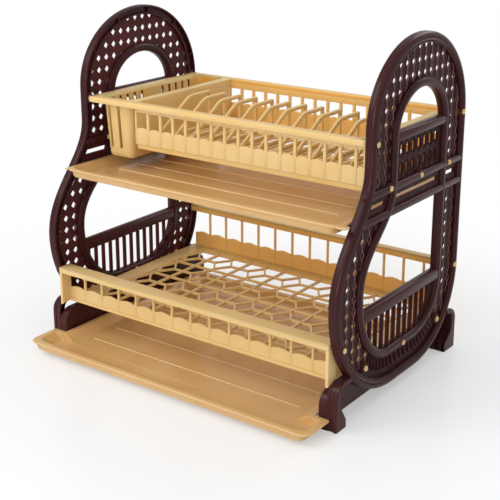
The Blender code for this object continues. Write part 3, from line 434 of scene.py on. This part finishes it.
def frameLoops():  # the outer edge and the opening, as (y, z)
    outer = evenLoop([ellipseArc((64, 346), (124, 120), 0, 1), ellipseArc((64, 360), (124, 106), 1, 2),
                      cubic((-60, 315), (-60, 261), (-135, 228), (-135, 158)),
                      ellipseArc((10, 158), (145, 145), 2, 3), ellipseArc((70, 130), (118, 117), 3, 4)], 440)
    inner = evenLoop([ellipseArc((64, 345), (61, 52), 0, 2),
                      cubic((3, 285), (3, 231), (-72, 217), (-72, 158)),
                      ellipseArc((0.5, 158), (72.5, 90), 2, 3), ellipseArc((61.5, 125), (63.5, 57), 3, 4)], 320)
    return outer, inner


rimProfile = np.array([  # depth from the outer edge, height towards the outside
    (14, -1), (14, 4.2), (13.7, 5), (13, 5.3), (12.3, 5), (11.9, 4.4), (11.2, 5.2), (9.8, 6.3), (8.4, 6.8),
    (7.7, 6.9), (7.2, 6.2), (6.7, 6.9), (4.4, 6.8),
    (2.2, 6.0), (0.8, 4.6), (0.1, 2.8), (0, 1.5), (0.45, 1.1), (0.45, 0.5), (0, 0.1), (0, -2.2), (0.45, -2.6),
    (0.45, -3.2), (0, -3.6), (0.1, -5), (0.6, -6.3), (1.6, -7), (2.8, -7), (3.2, -6.6), (3.4, -2.4), (3.9, -1.9),
    (10.4, -1.9), (10.9, -2.4), (11.1, -4.4), (11.6, -4.9), (13.4, -4.9), (14, -4.3)])
beadProfile = np.array([  # depth from the opening's edge, height towards the outside
    (13, -1), (13, 4.2), (12.6, 4.9), (11.9, 5), (11.3, 4.6), (10.4, 5.6), (8.8, 6.5), (6.4, 7), (3.8, 6.8),
    (1.8, 6), (0.6, 4.4), (0, 2.4), (0, -2.4), (0.6, -4.4), (1.8, -6), (3.8, -6.8), (6.4, -7), (8.8, -6.5),
    (10.4, -5.6), (11.3, -4.6), (11.9, -5), (12.6, -4.9), (13, -4.2)])


def sideFrame(word, side, f, rimPlastic, webLitAndShadedPlastic, strandHighlightPlastic):
    outer, inner = frameLoops()
    inwards, outside = inwardNormal(outer), (1, 0, 0)
    low, high = f["band"]
    home = word + "_side_frame", "frame_plastic"  # CAD node of all its pieces, and the word passed to makePiece as its slot argument

    def stand(y, z, height):  # a spot of the drawing, and its height towards the outside
        return spot(side * (f["centre"] + height), y, z)

    rims = [alongLoop(outer, rimProfile, stand), alongLoop(inner, beadProfile, stand, -1)]
    g = ledgeShape
    front, rear = [stand(g[end], g["level"], g["height"]) for end in ("front", "rear")]
    rims.append(bars(front, rear, g["wide"], g["thick"], 0.8))
    g = rimWallShape  # thin cross walls in the rim's hollow inner side
    steps = np.arange(g["first"], len(outer), g["step"])
    near, far = [stand(*(outer[steps] + inwards[steps] * g[end]).T, g["height"]) for end in ("near", "far")]
    rims.append(bars(near, far, g["wide"], g["tall"], 0.5, outside))
    for (bottom, top), loop, corner in (((high - f["lip"], high), outer, 3), ((low, low + f["lip"]), outer, 3),
                                        (f["handRail"], inner, 5), (f["crossbar"], inner, 5.5)):
        level = (bottom + top) / 2
        front, rear = crossing(loop, level)
        bury = f["bury"] if loop is outer else -f["bury"]
        rims.append(bars(stand(front + bury, level, 0), stand(rear - bury, level, 0), top - bottom, f["rail"],
                         corner, outside))
    makePiece(word + "_frame_rims", rims, rimPlastic, *home)

    # web with diamond holes: whole grid, cut off inside the rims
    columns = f["middle"] + f["studColumns"] * (np.arange(-f["halfCount"], f["halfCount"]) + 0.5)
    rows = f["studTop"] - f["studRows"] * np.arange(f["rowCount"])
    y, z = [v.ravel() for v in np.meshgrid(columns, rows)]
    hasHole = ~((z > low - 6) & (z < high + 6)) & (z > f["studLow"])
    a, b = f["studColumns"] / 2, f["studRows"] / 2
    cells = boxOutlines(y - a, y + a, z - b, z + b, 2)
    w, t = f["studWide"], f["studTall"]
    diamond = np.array([(-w / 2, -t / 2), (0, -t), (w / 2, -t / 2), (w, 0),
                        (w / 2, t / 2), (0, t), (-w / 2, t / 2), (-w, 0)])
    centres = np.stack([y, z], -1)[:, None]
    points, quads = holedCells(cells[hasHole], (centres + diamond)[hasHole])
    plain = np.concatenate([cells, centres], 1)[~hasHole]  # eight points round a cell and its middle
    order = np.array([(0, 1, 8, 7), (1, 2, 3, 8), (8, 3, 4, 5), (7, 8, 5, 6)])
    plainQuads = (np.arange(len(plain))[:, None, None] * 9 + order).reshape(-1, 4) + len(points)
    points, quads = np.concatenate([points, plain.reshape(-1, 2)]), np.concatenate([quads, plainQuads])
    centre = points[quads].mean(1)
    keep = within(offset(outer, 7.5), centre) & ~within(offset(inner, -7), centre)
    keep &= (centre[:, 1] > high - 5) | (centre[:, 1] < low + 5)
    webs = [slab(points, quads[keep], stand, -f["web"], f["web"], 0.15)]

    # lattice of six-sided cells between hand rail and band, each with a ridge round it on both faces
    count, half = f["cells"], (f["handRail"][0] - high) / 2
    edges = f["middle"] + f["cell"] * (np.arange(count + 1) - count / 2)
    edges[0], edges[-1] = f["cellEnds"]
    middle = f["middle"] + f["cell"] * (np.arange(count) - (count - 1) / 2)
    a, b, c = f["cellWide"], f["cellTall"], f["cellTall"] - f["cellPoint"]
    hexagon = np.array([(-a, -c), (0, -b), (a, -c), (a, 0), (a, c), (0, b), (-a, c), (-a, 0)])
    thick, wide = f["cellHalf"], f["cellRidge"]
    for row in (0, 1):
        bottom = high + half * row
        outlines = boxOutlines(edges[:-1], edges[1:], bottom - 3 * (row == 0), bottom + half + 3 * row, 2)
        centres = np.stack([middle, np.full(count, bottom + half / 2)], -1)[:, None]
        webs.append(slab(*holedCells(outlines, centres + hexagon), stand, -thick, thick, 0.3))
        ring = centres + hexagon * np.array([1.16, 1.08])
        start, end = ring.reshape(-1, 2), np.roll(ring, -1, 1).reshape(-1, 2)
        webs += [bars(stand(*start.T, face), stand(*end.T, face), wide, wide, 0.5, outside)
                 for face in (thick, -thick)]

    # belt with its slots
    frontOut, rearOut = crossing(outer, (low + high) / 2)
    frontIn, rearIn = crossing(inner, (low + high) / 2)
    g = beltShape
    a, b = g["ends"]
    cuts = np.array([frontOut + a, frontIn - b, rearIn + b, rearOut - a])
    a, b, c = g["slotEnds"]
    slotFrom, slotTo = np.array([(frontOut + a, frontIn + c, rearIn + b), (frontIn - b, rearIn - c, rearOut - a)])
    outlines = boxOutlines(cuts[:-1], cuts[1:], low + g["bury"], high - g["bury"], 6)
    points, quads = holedCells(outlines, boxOutlines(slotFrom, slotTo, *g["slot"], 6))
    webs.append(slab(points, quads, stand, -g["half"], g["half"], g["ease"]))

    # plain upright slats under the crossbar
    spots = np.arange(*f["slats"], f["slat"])
    lower = inner[inner[:, 1] < 158]
    lower = lower[np.argsort(lower[:, 0])]
    foot = np.interp(spots, lower[:, 0], lower[:, 1])
    webs.append(bars(stand(spots, foot - 6, 0), stand(spots, f["slatTop"], 0), f["slatWide"], f["slatThick"], 1.4,
                     outside))
    g = ribShape  # short leaning ribs along the bottom of the ring
    bottom = np.flatnonzero((outer[:, 1] < g["top"]) & (outer[:, 0] > g["front"]) & (outer[:, 0] < g["rear"]))
    bottom = bottom[::g["step"]]
    normal = inwards[bottom]
    tangent = np.stack([normal[:, 1], -normal[:, 0]], -1)
    foot, head = outer[bottom] + normal * g["near"], outer[bottom] + normal * g["far"] - tangent * g["lean"]
    webs.append(bars(stand(*foot.T, g["height"]), stand(*head.T, g["height"]), g["wide"], g["tall"], 1.6, outside))
    g = bossShape  # round bosses about the pins of the baskets
    y, z = np.array(rimPins + tabPins + bowlPins, float).T
    webs.append(bars(stand(y, z, -g["reach"]), stand(y, z, g["reach"]), g["wide"], g["wide"], g["wide"] / 2,
                     ease=g["ease"], steps=g["steps"]))
    makePiece(word + "_frame_web", webs, webLitAndShadedPlastic, *home, crease=32)

    # raised strands that run down each column and part round its diamonds
    z = np.arange(*f["strandRun"])
    wave = 0.5 + 0.5 * np.cos(2 * math.pi * (z - f["studTop"]) / f["studRows"])
    bulge = f["bulge"][0] + f["bulge"][1] * wave ** 1.7
    line = np.concatenate([columns[:, None] + sign * bulge for sign in (-1, 1)])
    turn = np.arange(6) * math.pi / 3
    ring = f["strand"] * np.stack([np.cos(turn), np.sin(turn)], -1)
    points = stand(line[..., None] + ring[:, 0], z[:, None], f["web"] + 0.15 + ring[:, 1])
    tube, faces = gridPart(points, wrapColumns=True)
    faces = np.array(faces)
    centre = tube[faces].mean(1)[:, 1:]
    keep = within(offset(outer, 12), centre) & ~within(offset(inner, -11), centre)
    keep &= (centre[:, 1] > high - 3) | ((centre[:, 1] < low + 3) & (centre[:, 1] > f["studLow"]))
    used, kept = np.unique(faces[keep], return_inverse=True)
    strands = [(tube[used], kept.reshape(-1, 4).tolist())]
    makePiece(word + "_frame_strands", strands, strandHighlightPlastic, *home, crease=60)


# Foot rails: a cheek inside the frame, and a post at either end that bends over towards the ring

footShape = dict(near=216, cheek=228.6, far=rackEnd, front=-132, rear=188, under=12.7, cheekTop=48, top=62,
                 round=18, frontLeg=22, rearLeg=30, frontReach=34, rearReach=26, spread=10, strip=12,
                 shelf=(28, 12), lid=5.5, flute=1.4, flutes=[(228.2, 231.5), (237, rackEnd)])
footLedgeShape = dict(near=208, level=13.8, thick=2.6, front=-106, rear=172)  # carries the lower drip tray


def footRail(word, side, f, material):
    def plank(loop, near, far, ease=0.8):  # a side view given a width, its edges eased
        rows = [spot(side * x, *offset(loop, depth).T)
                for x, depth in ((near, ease), (near + ease, 0), (far - ease, 0), (far, ease))]
        return gridPart(np.stack(rows)[None], wrapColumns=True, caps=True)

    def postLoop(edge, way, leg, reach, inset=0):
        # up the outside, over the round top to the ring, and back down the inside to a wider sole
        r, start = f["round"], (1 if way > 0 else 0)
        middle = (edge + way * r, f["top"] - r)
        outside = ellipseArc(middle, (r - inset, r - inset), start, start + 1, 12)
        inside = ellipseArc(middle, (r - inset - f["strip"] + 3, r - inset - f["lid"]), start, start + 1, 12)
        if way > 0:
            outside, inside = outside[::-1], inside[::-1]
        tip, strip, sole = edge + way * reach, edge + way * f["strip"], edge + way * leg
        loop = np.concatenate([[(edge + way * inset, 0)], outside,
                               [(tip, f["top"] - inset), (tip, f["top"] - f["lid"])], inside[::-1],
                               [(strip, f["shelf"][0]), (sole, f["shelf"][1]), (sole, 0)]])
        return loop[::-1] if way > 0 else loop

    front, rear, r, top = f["front"], f["rear"], f["round"], f["cheekTop"]
    frontSole, rearSole = front + f["frontLeg"], rear - f["rearLeg"]
    sole = [(front, 0), (frontSole, 0), (frontSole + f["spread"], f["under"]),
            (rearSole - f["spread"], f["under"]), (rearSole, 0), (rear, 0)]
    cheek = np.concatenate([sole, ellipseArc((rear - r, top - r), (r, r), 0, 1, 12),
                            ellipseArc((front + r, top - r), (r, r), 1, 2, 12)])
    parts = [plank(cheek, f["near"], f["cheek"])]
    for post in ((front, 1, f["frontLeg"], f["frontReach"]), (rear, -1, f["rearLeg"], f["rearReach"])):
        parts.append(plank(postLoop(*post, f["flute"]), f["cheek"] - 0.4, f["far"] - 1))
        parts += [plank(postLoop(*post), *pair, 1.1) for pair in f["flutes"]]
    g = footLedgeShape
    x = side * (g["near"] + f["near"]) / 2
    parts.append(bars(spot(x, g["front"], g["level"]), spot(x, g["rear"], g["level"]), f["near"] - g["near"] + 1,
                      g["thick"], 0.8))
    makePiece(word + "_foot", parts, material, word + "_foot_rail", "frame_plastic")


# Plate basket, its rim, its dividers and its cutlery trough

plateShape = dict(left=-148, right=222.2, front=-47.1, rear=173.1, wall=2.6, low=289.5, band=311, ripple=2.4,
                  high=338.5, post=4.8, firstPost=-124.3, pitch=22.2, endPosts=10, cornerPost=3.4, cornerTop=344,
                  strip=9, stripMiddle=339.5, floor=(288, 291), dividerFrom=-126, dividerPitch=28.2,
                  drain=19, drainRows=3, drainBar=10, base=(282.5, 289.5), baseInset=1.2,
                  leftLevels=(289.5, 315, 346.9), tabFrom=218)
tabShape = dict(wide=12, tall=6, corner=1, pinFrom=225)
rimShape = dict(front=-57, rear=183, corner=4, top=349.5, skin=(-216, -145.6, -46, 172), skinThick=(-3, -0.15))
rimSection = np.array([  # depth from the outer edge, height from the top
    (0, -7.4), (0, -2.2), (0.4, -1), (1.2, -0.3), (2.4, 0), (10.6, 0), (11.6, -0.2), (12.3, -0.8), (12.5, -1.7),
    (12.5, -5.6), (12.1, -6.1), (10.5, -6.1), (10.1, -5.6), (10.1, -3.1), (9.6, -2.6), (3, -2.6), (2.5, -3.1),
    (2.5, -7.4), (2, -8), (0.5, -8)])
mouthSection = np.array([(0, -3.4), (0, -1.2), (0.5, -0.4), (1.2, 0), (2, -0.3), (2.5, -1), (2.5, -3.4)])
dividerShape = dict(corners=[(-41, 291.3), (96, 291.3), (96, 346.5), (46, 346.5)], ease=(3, 2, 4, 9), count=12,
                    foot=(-38, 94), footLevel=293)
dividerSection = np.array([(0, -1.3), (0, 1.3), (0.4, 1.9), (1.1, 2.2), (4.4, 2.2), (5.1, 1.9), (5.5, 1.3),
                           (5.5, -1.3), (5.1, -1.9), (4.4, -2.2), (1.1, -2.2), (0.4, -1.9)])
troughShape = dict(left=-213.2, right=-155.7, front=-45.8, rear=171.8, corner=14, top=346.8, low=268, taper=6,
                   wall=2.6, floor=262, slot=5.4, slotPitch=15.5, slots=5, slotLow=276, slotHigh=344.2,
                   frontSlots=(-199, -181.2), partition=63, partitionTop=330.5, tabFrom=210.5)
bottomRings = [  # depth and height: inner floor, over the wall's foot, down to the underside
    (17, 2.8), (12, 3.1), (10, 4.2), (8.7, 6.4), (6.1, 6.4), (6.6, 3.6), (8.2, 1.4), (10.6, 0.3), (13, 0), (17, 0)]


def snapTabs(side, start, f=tabShape):  # tabs from a basket to the side frame, each with a pin through it
    start, end = [spot(side * x, *np.array(tabPins).T) for x in (start, basketEnd)]
    return roundPins(tabPins, f["pinFrom"], [side]) + [bars(start, end, f["wide"], f["tall"], f["corner"])]


def plateBasket(f, material):
    half = f["wall"] / 2
    left, right, front, rear = f["left"] + half, f["right"] - half, f["front"] + half, f["rear"] - half
    posts = np.arange(f["firstPost"], f["right"] - f["pitch"] / 2, f["pitch"])
    posts = np.concatenate([[f["left"] + 0.6], posts, [f["right"] - 0.6]])
    parts = []
    for wall in (front, rear):
        parts += fence(posts, f, lambda x, z, height: spot(x, wall - height, z), f["wall"])
    posts = np.linspace(f["front"] + 0.6, f["rear"] - 0.6, f["endPosts"])
    parts += fence(posts, f, lambda y, z, height: spot(right + height, y, z), f["wall"])
    corners = np.array([(left + 0.5, front), (left + 0.5, rear), (right, front), (right, rear)]).T
    wide = f["cornerPost"]
    parts.append(bars(spot(*corners, f["low"]), spot(*corners, f["cornerTop"]), wide, wide, 1.2, (0, 1, 0)))
    # strip under the rim that ties the heads of the posts together
    start, end = [spot((x, x, right), (front, rear, y), f["stripMiddle"])
                  for x, y in ((f["left"] + 1, f["front"] + 1), (f["right"] - 1, f["rear"] - 1))]
    parts.append(bars(start, end, f["wall"], f["strip"], 0.6))
    parts.append(sheet(np.linspace(f["front"] + 1, f["rear"] - 1, 12), np.array(f["leftLevels"]),
                       lambda y, z, height: spot(left + height, y, z), half))
    # floor with a row of drains between each two dividers
    pitch = f["dividerPitch"]
    edges = f["dividerFrom"] + pitch * np.arange(dividerShape["count"] + 1)
    rows, step = np.linspace(front, rear, f["drainRows"] + 1, retstep=True)
    x, y = [v.ravel() for v in np.meshgrid(edges[:-1], rows[:-1])]
    inset, gap = (pitch - f["drain"]) / 2, f["drainBar"] / 2
    holes = boxOutlines(x + inset, x + pitch - inset, y + gap, y + step - gap, 4)
    parts.append(slab(*holedCells(boxOutlines(x, x + pitch, y, y + step, 4), holes), spot, *f["floor"], 0.6))
    low, high = f["floor"]
    strips = np.array([(f["left"] + 1, edges[0] + 0.4), (edges[-1] - 0.4, f["right"] - 1)])
    start, end = [spot(strips.mean(1), y, (low + high) / 2) for y in (f["front"] + 1, f["rear"] - 1)]
    parts.append(bars(start, end, strips[:, 1] - strips[:, 0], high - low, 0.6))
    low, high = f["base"]
    section = np.array([(0, high + 0.5), (0, low + 0.8), (0.7, low), (3.3, low), (4, low + 0.8), (4, high + 0.5)])
    parts.append(alongLoop(wallOutline(f, f["baseInset"], 3), section, spot))
    parts += snapTabs(1, f["tabFrom"])
    makePiece("plate_basket", parts, material, "upper_basket")


def plateRim(f, trough, material):
    outer = roundedOutline(-basketEnd, basketEnd, f["front"], f["rear"], f["corner"], 24)
    parts = [alongLoop(outer, rimSection + (0, f["top"]), spot)]
    # plate round the mouth of the trough, and the trough's own lip
    hole = wallOutline(trough, 1.3, trough["corner"], 12)
    low, high = [f["top"] + height for height in f["skinThick"]]
    parts.append(slab(*holedCells(boxOutlines(*f["skin"], 12), hole[None]), spot, low, high, 0.7))
    parts.append(alongLoop(wallOutline(trough, -0.6, trough["corner"]), mouthSection + (0, f["top"]), spot))
    parts += roundPins(rimPins)
    makePiece("plate_basket_rim", parts, material, "upper_basket_rim")


def plateDivider(count, x, f, material):
    loop = easedCorners(f["corners"], f["ease"])
    part = alongLoop(loop, dividerSection, lambda y, z, height: spot(x + height, y, z))
    start, end = [spot(x, y, f["footLevel"]) for y in f["foot"]]
    makePiece("divider_loop_%02d" % count, [part, bars(start, end, 3, 3.2, 0.9)], material,
              "plate_divider_%02d" % count, crease=50)


def cutleryTrough(f, material):
    outline = evenLoop([wallOutline(f, 0, f["corner"], 60)], 560)
    first = np.argmin(np.abs(outline - (f["right"], f["partition"])).sum(1))
    outline = np.roll(outline, -first, 0)
    walls = np.column_stack([outline, inwardNormal(outline)])
    walls = np.vstack([walls, walls[:1]])
    run = runningLength(walls[:, :2])
    slope = f["taper"] / (f["top"] - f["low"])

    def stand(along, level, height):  # a running length and a level on the tapering wall
        x, y, nx, ny = [np.interp(along, run, column) for column in walls.T]
        depth = slope * (f["top"] - level) + f["wall"] / 2 - height
        return spot(x + nx * depth, y + ny * depth, level)

    # running length of the slots: ten in the left wall, two in the front wall
    atLeft, atFront = np.abs(walls[:, :2] - (f["left"], f["front"])).T < 0.3
    quarter = (f["rear"] - f["front"]) / 4
    rows = f["slotPitch"] * (np.arange(f["slots"]) - (f["slots"] - 1) / 2)
    spots = np.concatenate([f["front"] + quarter + rows, f["rear"] - quarter + rows])
    slots = np.concatenate([np.interp(-spots, -walls[atLeft, 1], run[atLeft]),
                            np.interp(f["frontSlots"], walls[atFront, 0], run[atFront])])
    edges = np.sort(np.concatenate([slots - f["slot"] / 2, slots + f["slot"] / 2]))
    columns = np.linspace(0, run[-1], 150)
    columns = columns[np.abs(columns[:, None] - edges).min(1) > 1.0]
    columns = np.sort(np.concatenate([columns, edges]))
    levels = np.array([f["low"] - 0.4, f["slotLow"], 290, 305, 320, f["slotHigh"], f["top"]])

    def keep(centre):
        inSlot = (np.abs(centre[:, :1] - slots) < f["slot"] / 2).any(1)
        return ~(inSlot & (centre[:, 1] > f["slotLow"]) & (centre[:, 1] < f["slotHigh"]))

    parts = [sheet(columns, levels, stand, f["wall"] / 2, 0.4, keep)]
    shell = np.stack([spot(*offset(outline[::4], depth).T, f["floor"] + height) for depth, height in bottomRings])
    parts.append(gridPart(shell[None], wrapColumns=True, caps=True))
    middle, high, low = f["partition"], f["partitionTop"], f["floor"] + 3
    reach = slope * (f["top"] - high) + 1
    corners = np.array([(f["left"] + 9, low), (f["right"] - 9, low), (f["right"] - reach, high),
                        (f["left"] + reach, high)])
    parts.append(slab(corners, oneFace, lambda x, z, height: spot(x, middle - height, z), -1.3, 1.3, 0.5))
    parts += snapTabs(-1, f["tabFrom"])
    makePiece("trough_shell", parts, material, "cutlery_trough")


# Bowl basket

bowlShape = dict(front=-130, rear=183, floor=(58.5, 62.5), pitch=32.4, wall=2.6, border=26, sunk=0.25,
                 bay=64.8, row=60, first=157.4, diamondWide=16, diamondTall=23, strut=3, rib=3.8,
                 frontRim=(104, 112.5), frontBar=20.6, frontLips=[1.4], frontLip=2.8,
                 rearRim=(122, 132), rearBar=13, rearLips=[1.3, 11.7], rearLip=2.6, rimThick=3.2,
                 endWall=[(-129.7, 56.2), (-111, 60.5), (-111, 110), (-129.7, 110)], endWallHalf=2.2)
bowlFront = dict(y=-111.7, low=60.5, band=78, ripple=3, high=104, post=4)
bowlRear = dict(y=178.3, low=60.5, band=83, ripple=3, high=122, post=3.6)


def bowlBasket(f, material):
    reach, parts = basketEnd, []
    posts = np.concatenate([[-reach + 3], f["pitch"] * np.arange(-6, 7), [reach - 3]])
    for wall in (bowlFront, bowlRear):
        parts += fence(posts, wall, lambda x, z, height: spot(x, wall["y"] - height, z), f["wall"])
    # rims: a wide flat top with lips hanging from it, one in front and two at the rear
    for end, edge, way in (("front", f["front"], 1), ("rear", f["rear"], -1)):
        low, high = f[end + "Rim"]
        y, lips = edge + way * f[end + "Bar"] / 2, edge + way * np.array(f[end + "Lips"])
        for y, level, wide, tall, corner in ((y, high - f["rimThick"] / 2, f[end + "Bar"], f["rimThick"], 1.4),
                                             (lips, (low + high) / 2, f[end + "Lip"], high - low, 1.2)):
            parts.append(bars(spot(-reach, y, level), spot(reach, y, level), wide, tall, corner))
    # floor: borders, straight ribs, and a diamond with two arms in every bay
    floor, thick = sum(f["floor"]) / 2, f["floor"][1] - f["floor"][0]
    front, rear = f["front"] + 17, f["rear"] - 3.4
    last, edge = front + 4, reach - f["border"] + 1
    bands = np.array([(f["first"], rear), (front - 3, last)])
    sunk = floor - f["sunk"]  # a little lower than the borders, so that no two tops lie in one plane
    levels = f["first"] - f["row"] * np.arange(1, 5)
    for x, y, level, wide, corner in ((reach - 2, bands.mean(1), sunk, bands[:, 1] - bands[:, 0], 0.9),
                                      (edge, levels, floor, f["strut"], 1)):
        parts.append(bars(spot(-x, y, level), spot(x, y, level), wide, thick, corner))
    side = reach - f["border"] / 2
    for x, wide, corner in ((np.array([-side, side]), f["border"], 0.9),
                            (f["bay"] * np.arange(-2.5, 3), f["rib"], 1)):
        parts.append(bars(spot(x, front, floor), spot(x, rear, floor), wide, thick, corner))
    middles = np.meshgrid(f["bay"] * np.arange(-3, 4), f["first"] - f["row"] * (np.arange(5) + 0.5))
    w, t, half = f["diamondWide"], f["diamondTall"], f["bay"] / 2
    lines = np.array([((-half, 0), (-w, 0)), ((w, 0), (half, 0)), ((-w, 0), (0, t)), ((0, t), (w, 0)),
                      ((w, 0), (0, -t)), ((0, -t), (-w, 0)), ((0, t), (0, f["row"] - t))])
    lines = (np.stack(middles, -1).reshape(-1, 1, 1, 2) + lines).reshape(-1, 2, 2)
    lines = np.clip(lines, (-edge, last - 2), (edge, f["first"] + 2))
    lines = lines[(np.abs(np.diff(lines, axis=1)).sum((1, 2)) > 1) & (lines[..., 1].max(1) > last - 1)]
    start, end = [spot(*lines[:, k].T, floor) for k in (0, 1)]
    parts.append(bars(start, end, f["strut"], thick, 1, ease=0.3, steps=2))
    for sign in (-1, 1):  # end walls under the front rim
        parts.append(slab(np.array(f["endWall"]), oneFace,
                          lambda y, z, height: spot(sign * (reach - 2.25) + height, y, z),
                          -f["endWallHalf"], f["endWallHalf"], 0.8))
    parts += roundPins(bowlPins)
    makePiece("bowl_basket", parts, material, "lower_basket")


# Drip trays

traySection = [  # depth from the edge, height from the top and depth at the front: floor, slope, lip, edge, skirt
    (26, -9.9, 26), (23.5, -9.8, 23.5), (21.5, -9.2, 21.5), (19.8, -8, 19.8), (10.6, -1.3, 10.6), (9.4, -0.5, 9.4),
    (8.2, -0.15, 8.2), (7, 0, 7), (2, 0, 2), (1, -0.2, 1), (0.3, -0.7, 0.3), (0, -1.4, 0), (0, -2.2, 0),
    (0.4, -2.8, 0.2), (1.2, -3.1, 0.6), (6.4, -3.3, 0.9), (7.4, -3.9, 1.1), (8.6, -10.6, 2.6), (9.4, -11.6, 3.2),
    (10.8, -12, 4.6), (26, -12, 26)]
upperTrayShape = dict(top=255.5, front=-110, rear=175, body=226.5, corner=15,
                      wing=dict(tips=(-227, 235), y=-104.6, wide=10.8, level=-1.5),
                      rib=(3.4, 2.6), ribLevel=-10, ribs=[-78, -41.6, -5, 32, 68, 105, 141], ribReach=186)
lowerTrayShape = dict(top=18.5, front=-188, rear=175, body=214.2, wide=235.5, shoulder=-135, corner=15,
                      rib=(3.4, 2.6), ribLevel=-10, ribs=[-113.5, -66.5, -19.5, 27.5, 74.5, 121.5], ribReach=179)


def trayLoop(f, depth, frontDepth):  # the edge moved inwards; the lower tray is wider in front of the feet
    front, rear, body = f["front"] + frontDepth, f["rear"] - depth, f["body"] - depth
    ease = f["corner"] - depth * 0.35
    if "wide" not in f:
        return easedCorners([(-body, front), (body, front), (body, rear), (-body, rear)], ease)
    wide, back = f["wide"] - depth, f["shoulder"] - min(depth, 9)
    return easedCorners([(-wide, front), (wide, front), (wide, back), (body, back), (body, rear), (-body, rear),
                         (-body, back), (-wide, back)], np.array([ease, ease, 4, 1.5, ease, ease, 1.5, 4]))


def dripTray(word, f, material):
    rows = np.stack([spot(*trayLoop(f, depth, frontDepth).T, f["top"] + height)
                     for depth, height, frontDepth in traySection])
    parts = [gridPart(rows[None], wrapColumns=True, caps=True)]
    start, end = [spot(x, f["ribs"], f["top"] + f["ribLevel"]) for x in (-f["ribReach"], f["ribReach"])]
    parts.append(bars(start, end, *f["rib"], 1.2))
    if "wing" in f:  # thin ends of the lip that reach in front of the side frames
        g = f["wing"]
        tips = np.array(g["tips"])
        start, end = [spot(x, g["y"], f["top"] + g["level"]) for x in (np.copysign(f["body"] - 6, tips), tips)]
        parts.append(bars(start, end, g["wide"], 2.6, 1.2))
    makePiece(word + "_tray_shell", parts, material, word + "_drip_tray", "tray_plastic", word + "_tray")


# Floor and light

studio = dict(floor="#fbfbfb", floorRoughness=0.22, floorHalf=12, floorLevel=-0.0002, sky=0.7,
              fadeFrom=0.3, fadeTo=0.8, fadeLeast=0.4, aim=(0, 0, 0.2),
              lamps=(("key", (-1.0, -1.3, 1.7), 1.2, 16), ("fill", (0.15, -1.9, 0.75), 0.9, 9),
                     ("rim", (0.3, 1.5, 1.4), 0.9, 7)))  # name, place, size in metres, power in watts


def makeStudio(s):
    floorMaterial = bpy.data.materials.new("white_table")
    floorMaterial.use_nodes = True
    tree = floorMaterial.node_tree
    shader = tree.nodes["Principled BSDF"]
    shader.inputs["Base Color"].default_value = linear(s["floor"])
    shader.inputs["Roughness"].default_value = s["floorRoughness"]
    # the camera sees the table turn to plain white away from the rack
    place = addNode(tree, "ShaderNodeTexCoord").outputs["Object"]
    away = addNode(tree, "ShaderNodeVectorMath", {"operation": "LENGTH"}, links={0: place}).outputs["Value"]
    limits = {"From Min": s["fadeFrom"], "From Max": s["fadeTo"], "To Min": s["fadeLeast"]}
    fade = addNode(tree, "ShaderNodeMapRange", {"interpolation_type": "SMOOTHSTEP"}, limits,
                   {"Value": away}).outputs["Result"]
    rays = addNode(tree, "ShaderNodeLightPath").outputs
    seen = addNode(tree, "ShaderNodeMath", {"operation": "MULTIPLY"}, links={0: rays["Is Camera Ray"], 1: fade})
    white = addNode(tree, "ShaderNodeEmission", values={"Color": (1, 1, 1, 1), "Strength": 1})
    mix = addNode(tree, "ShaderNodeMixShader",
                  links={0: seen.outputs[0], 1: shader.outputs[0], 2: white.outputs[0]})
    tree.links.new(mix.outputs[0], tree.nodes["Material Output"].inputs["Surface"])
    half = s["floorHalf"]
    mesh = bpy.data.meshes.new("floor")
    corners = [(x * half, y * half, s["floorLevel"]) for x, y in ((-1, -1), (1, -1), (1, 1), (-1, 1))]
    mesh.from_pydata(corners, [], oneFace.tolist())
    mesh.materials.append(floorMaterial)
    floor = addObject("floor", mesh)
    # the world is a soft dome for the object and plain white behind it
    world = bpy.data.worlds.new("studio")
    bpy.context.scene.world = world
    world.use_nodes = True
    tree = world.node_tree
    tree.nodes.clear()
    rays = addNode(tree, "ShaderNodeLightPath").outputs
    seen = addNode(tree, "ShaderNodeMath", {"operation": "MAXIMUM"},
                   links={0: rays["Is Camera Ray"], 1: rays["Is Transmission Ray"]})
    dome, white = [addNode(tree, "ShaderNodeBackground", values={"Color": (1, 1, 1, 1), "Strength": strength})
                   for strength in (s["sky"], 1)]
    mix = addNode(tree, "ShaderNodeMixShader", links={0: seen.outputs[0], 1: dome.outputs[0], 2: white.outputs[0]})
    addNode(tree, "ShaderNodeOutputWorld", links={"Surface": mix.outputs[0]})
    for name, place, size, power in s["lamps"]:
        lamp = addObject(name, bpy.data.lights.new(name, "AREA"))
        lamp.data.size = size
        lamp.data.energy = power
        lamp.location = place
        lamp.rotation_mode = "QUATERNION"
        lamp.rotation_quaternion = (Vector(s["aim"]) - Vector(place)).to_track_quat("-Z", "Y")
    bpy.context.scene.view_settings.view_transform = "Standard"


makeCamera(view)
makeStudio(studio)
brown = mouldedPlastic("glossy_brown_polypropylene", frameLook)
# the web: paler with painted light on its inner face, darker with painted shade on its outer face
web = mouldedPlastic("satin_brown_web_painted_light_and_shade", webLitAndShadedLook)
# the strands: the frame's plastic made paler with a painted highlight
ridge = mouldedPlastic("highlight_painted_brown_polypropylene", strandHighlightLook)
cream = mouldedPlastic("satin_cream_polypropylene", basketLook)
tan = mouldedPlastic("glossy_tan_polypropylene", trayLook)
print("camera, light and materials are ready")
for word, side in (("right", 1), ("left", -1)):
    sideFrame(word, side, frameShape, brown, web, ridge)
    footRail(word, side, footShape, brown)
print("side frames and feet are ready")
plateBasket(plateShape, cream)
plateRim(rimShape, troughShape, cream)
for count in range(dividerShape["count"]):
    plateDivider(count + 1, plateShape["dividerFrom"] + plateShape["dividerPitch"] * count, dividerShape, cream)
cutleryTrough(troughShape, cream)
bowlBasket(bowlShape, cream)
print("baskets are ready")
dripTray("upper", upperTrayShape, tan)
dripTray("lower", lowerTrayShape, tan)
print("trays are ready")
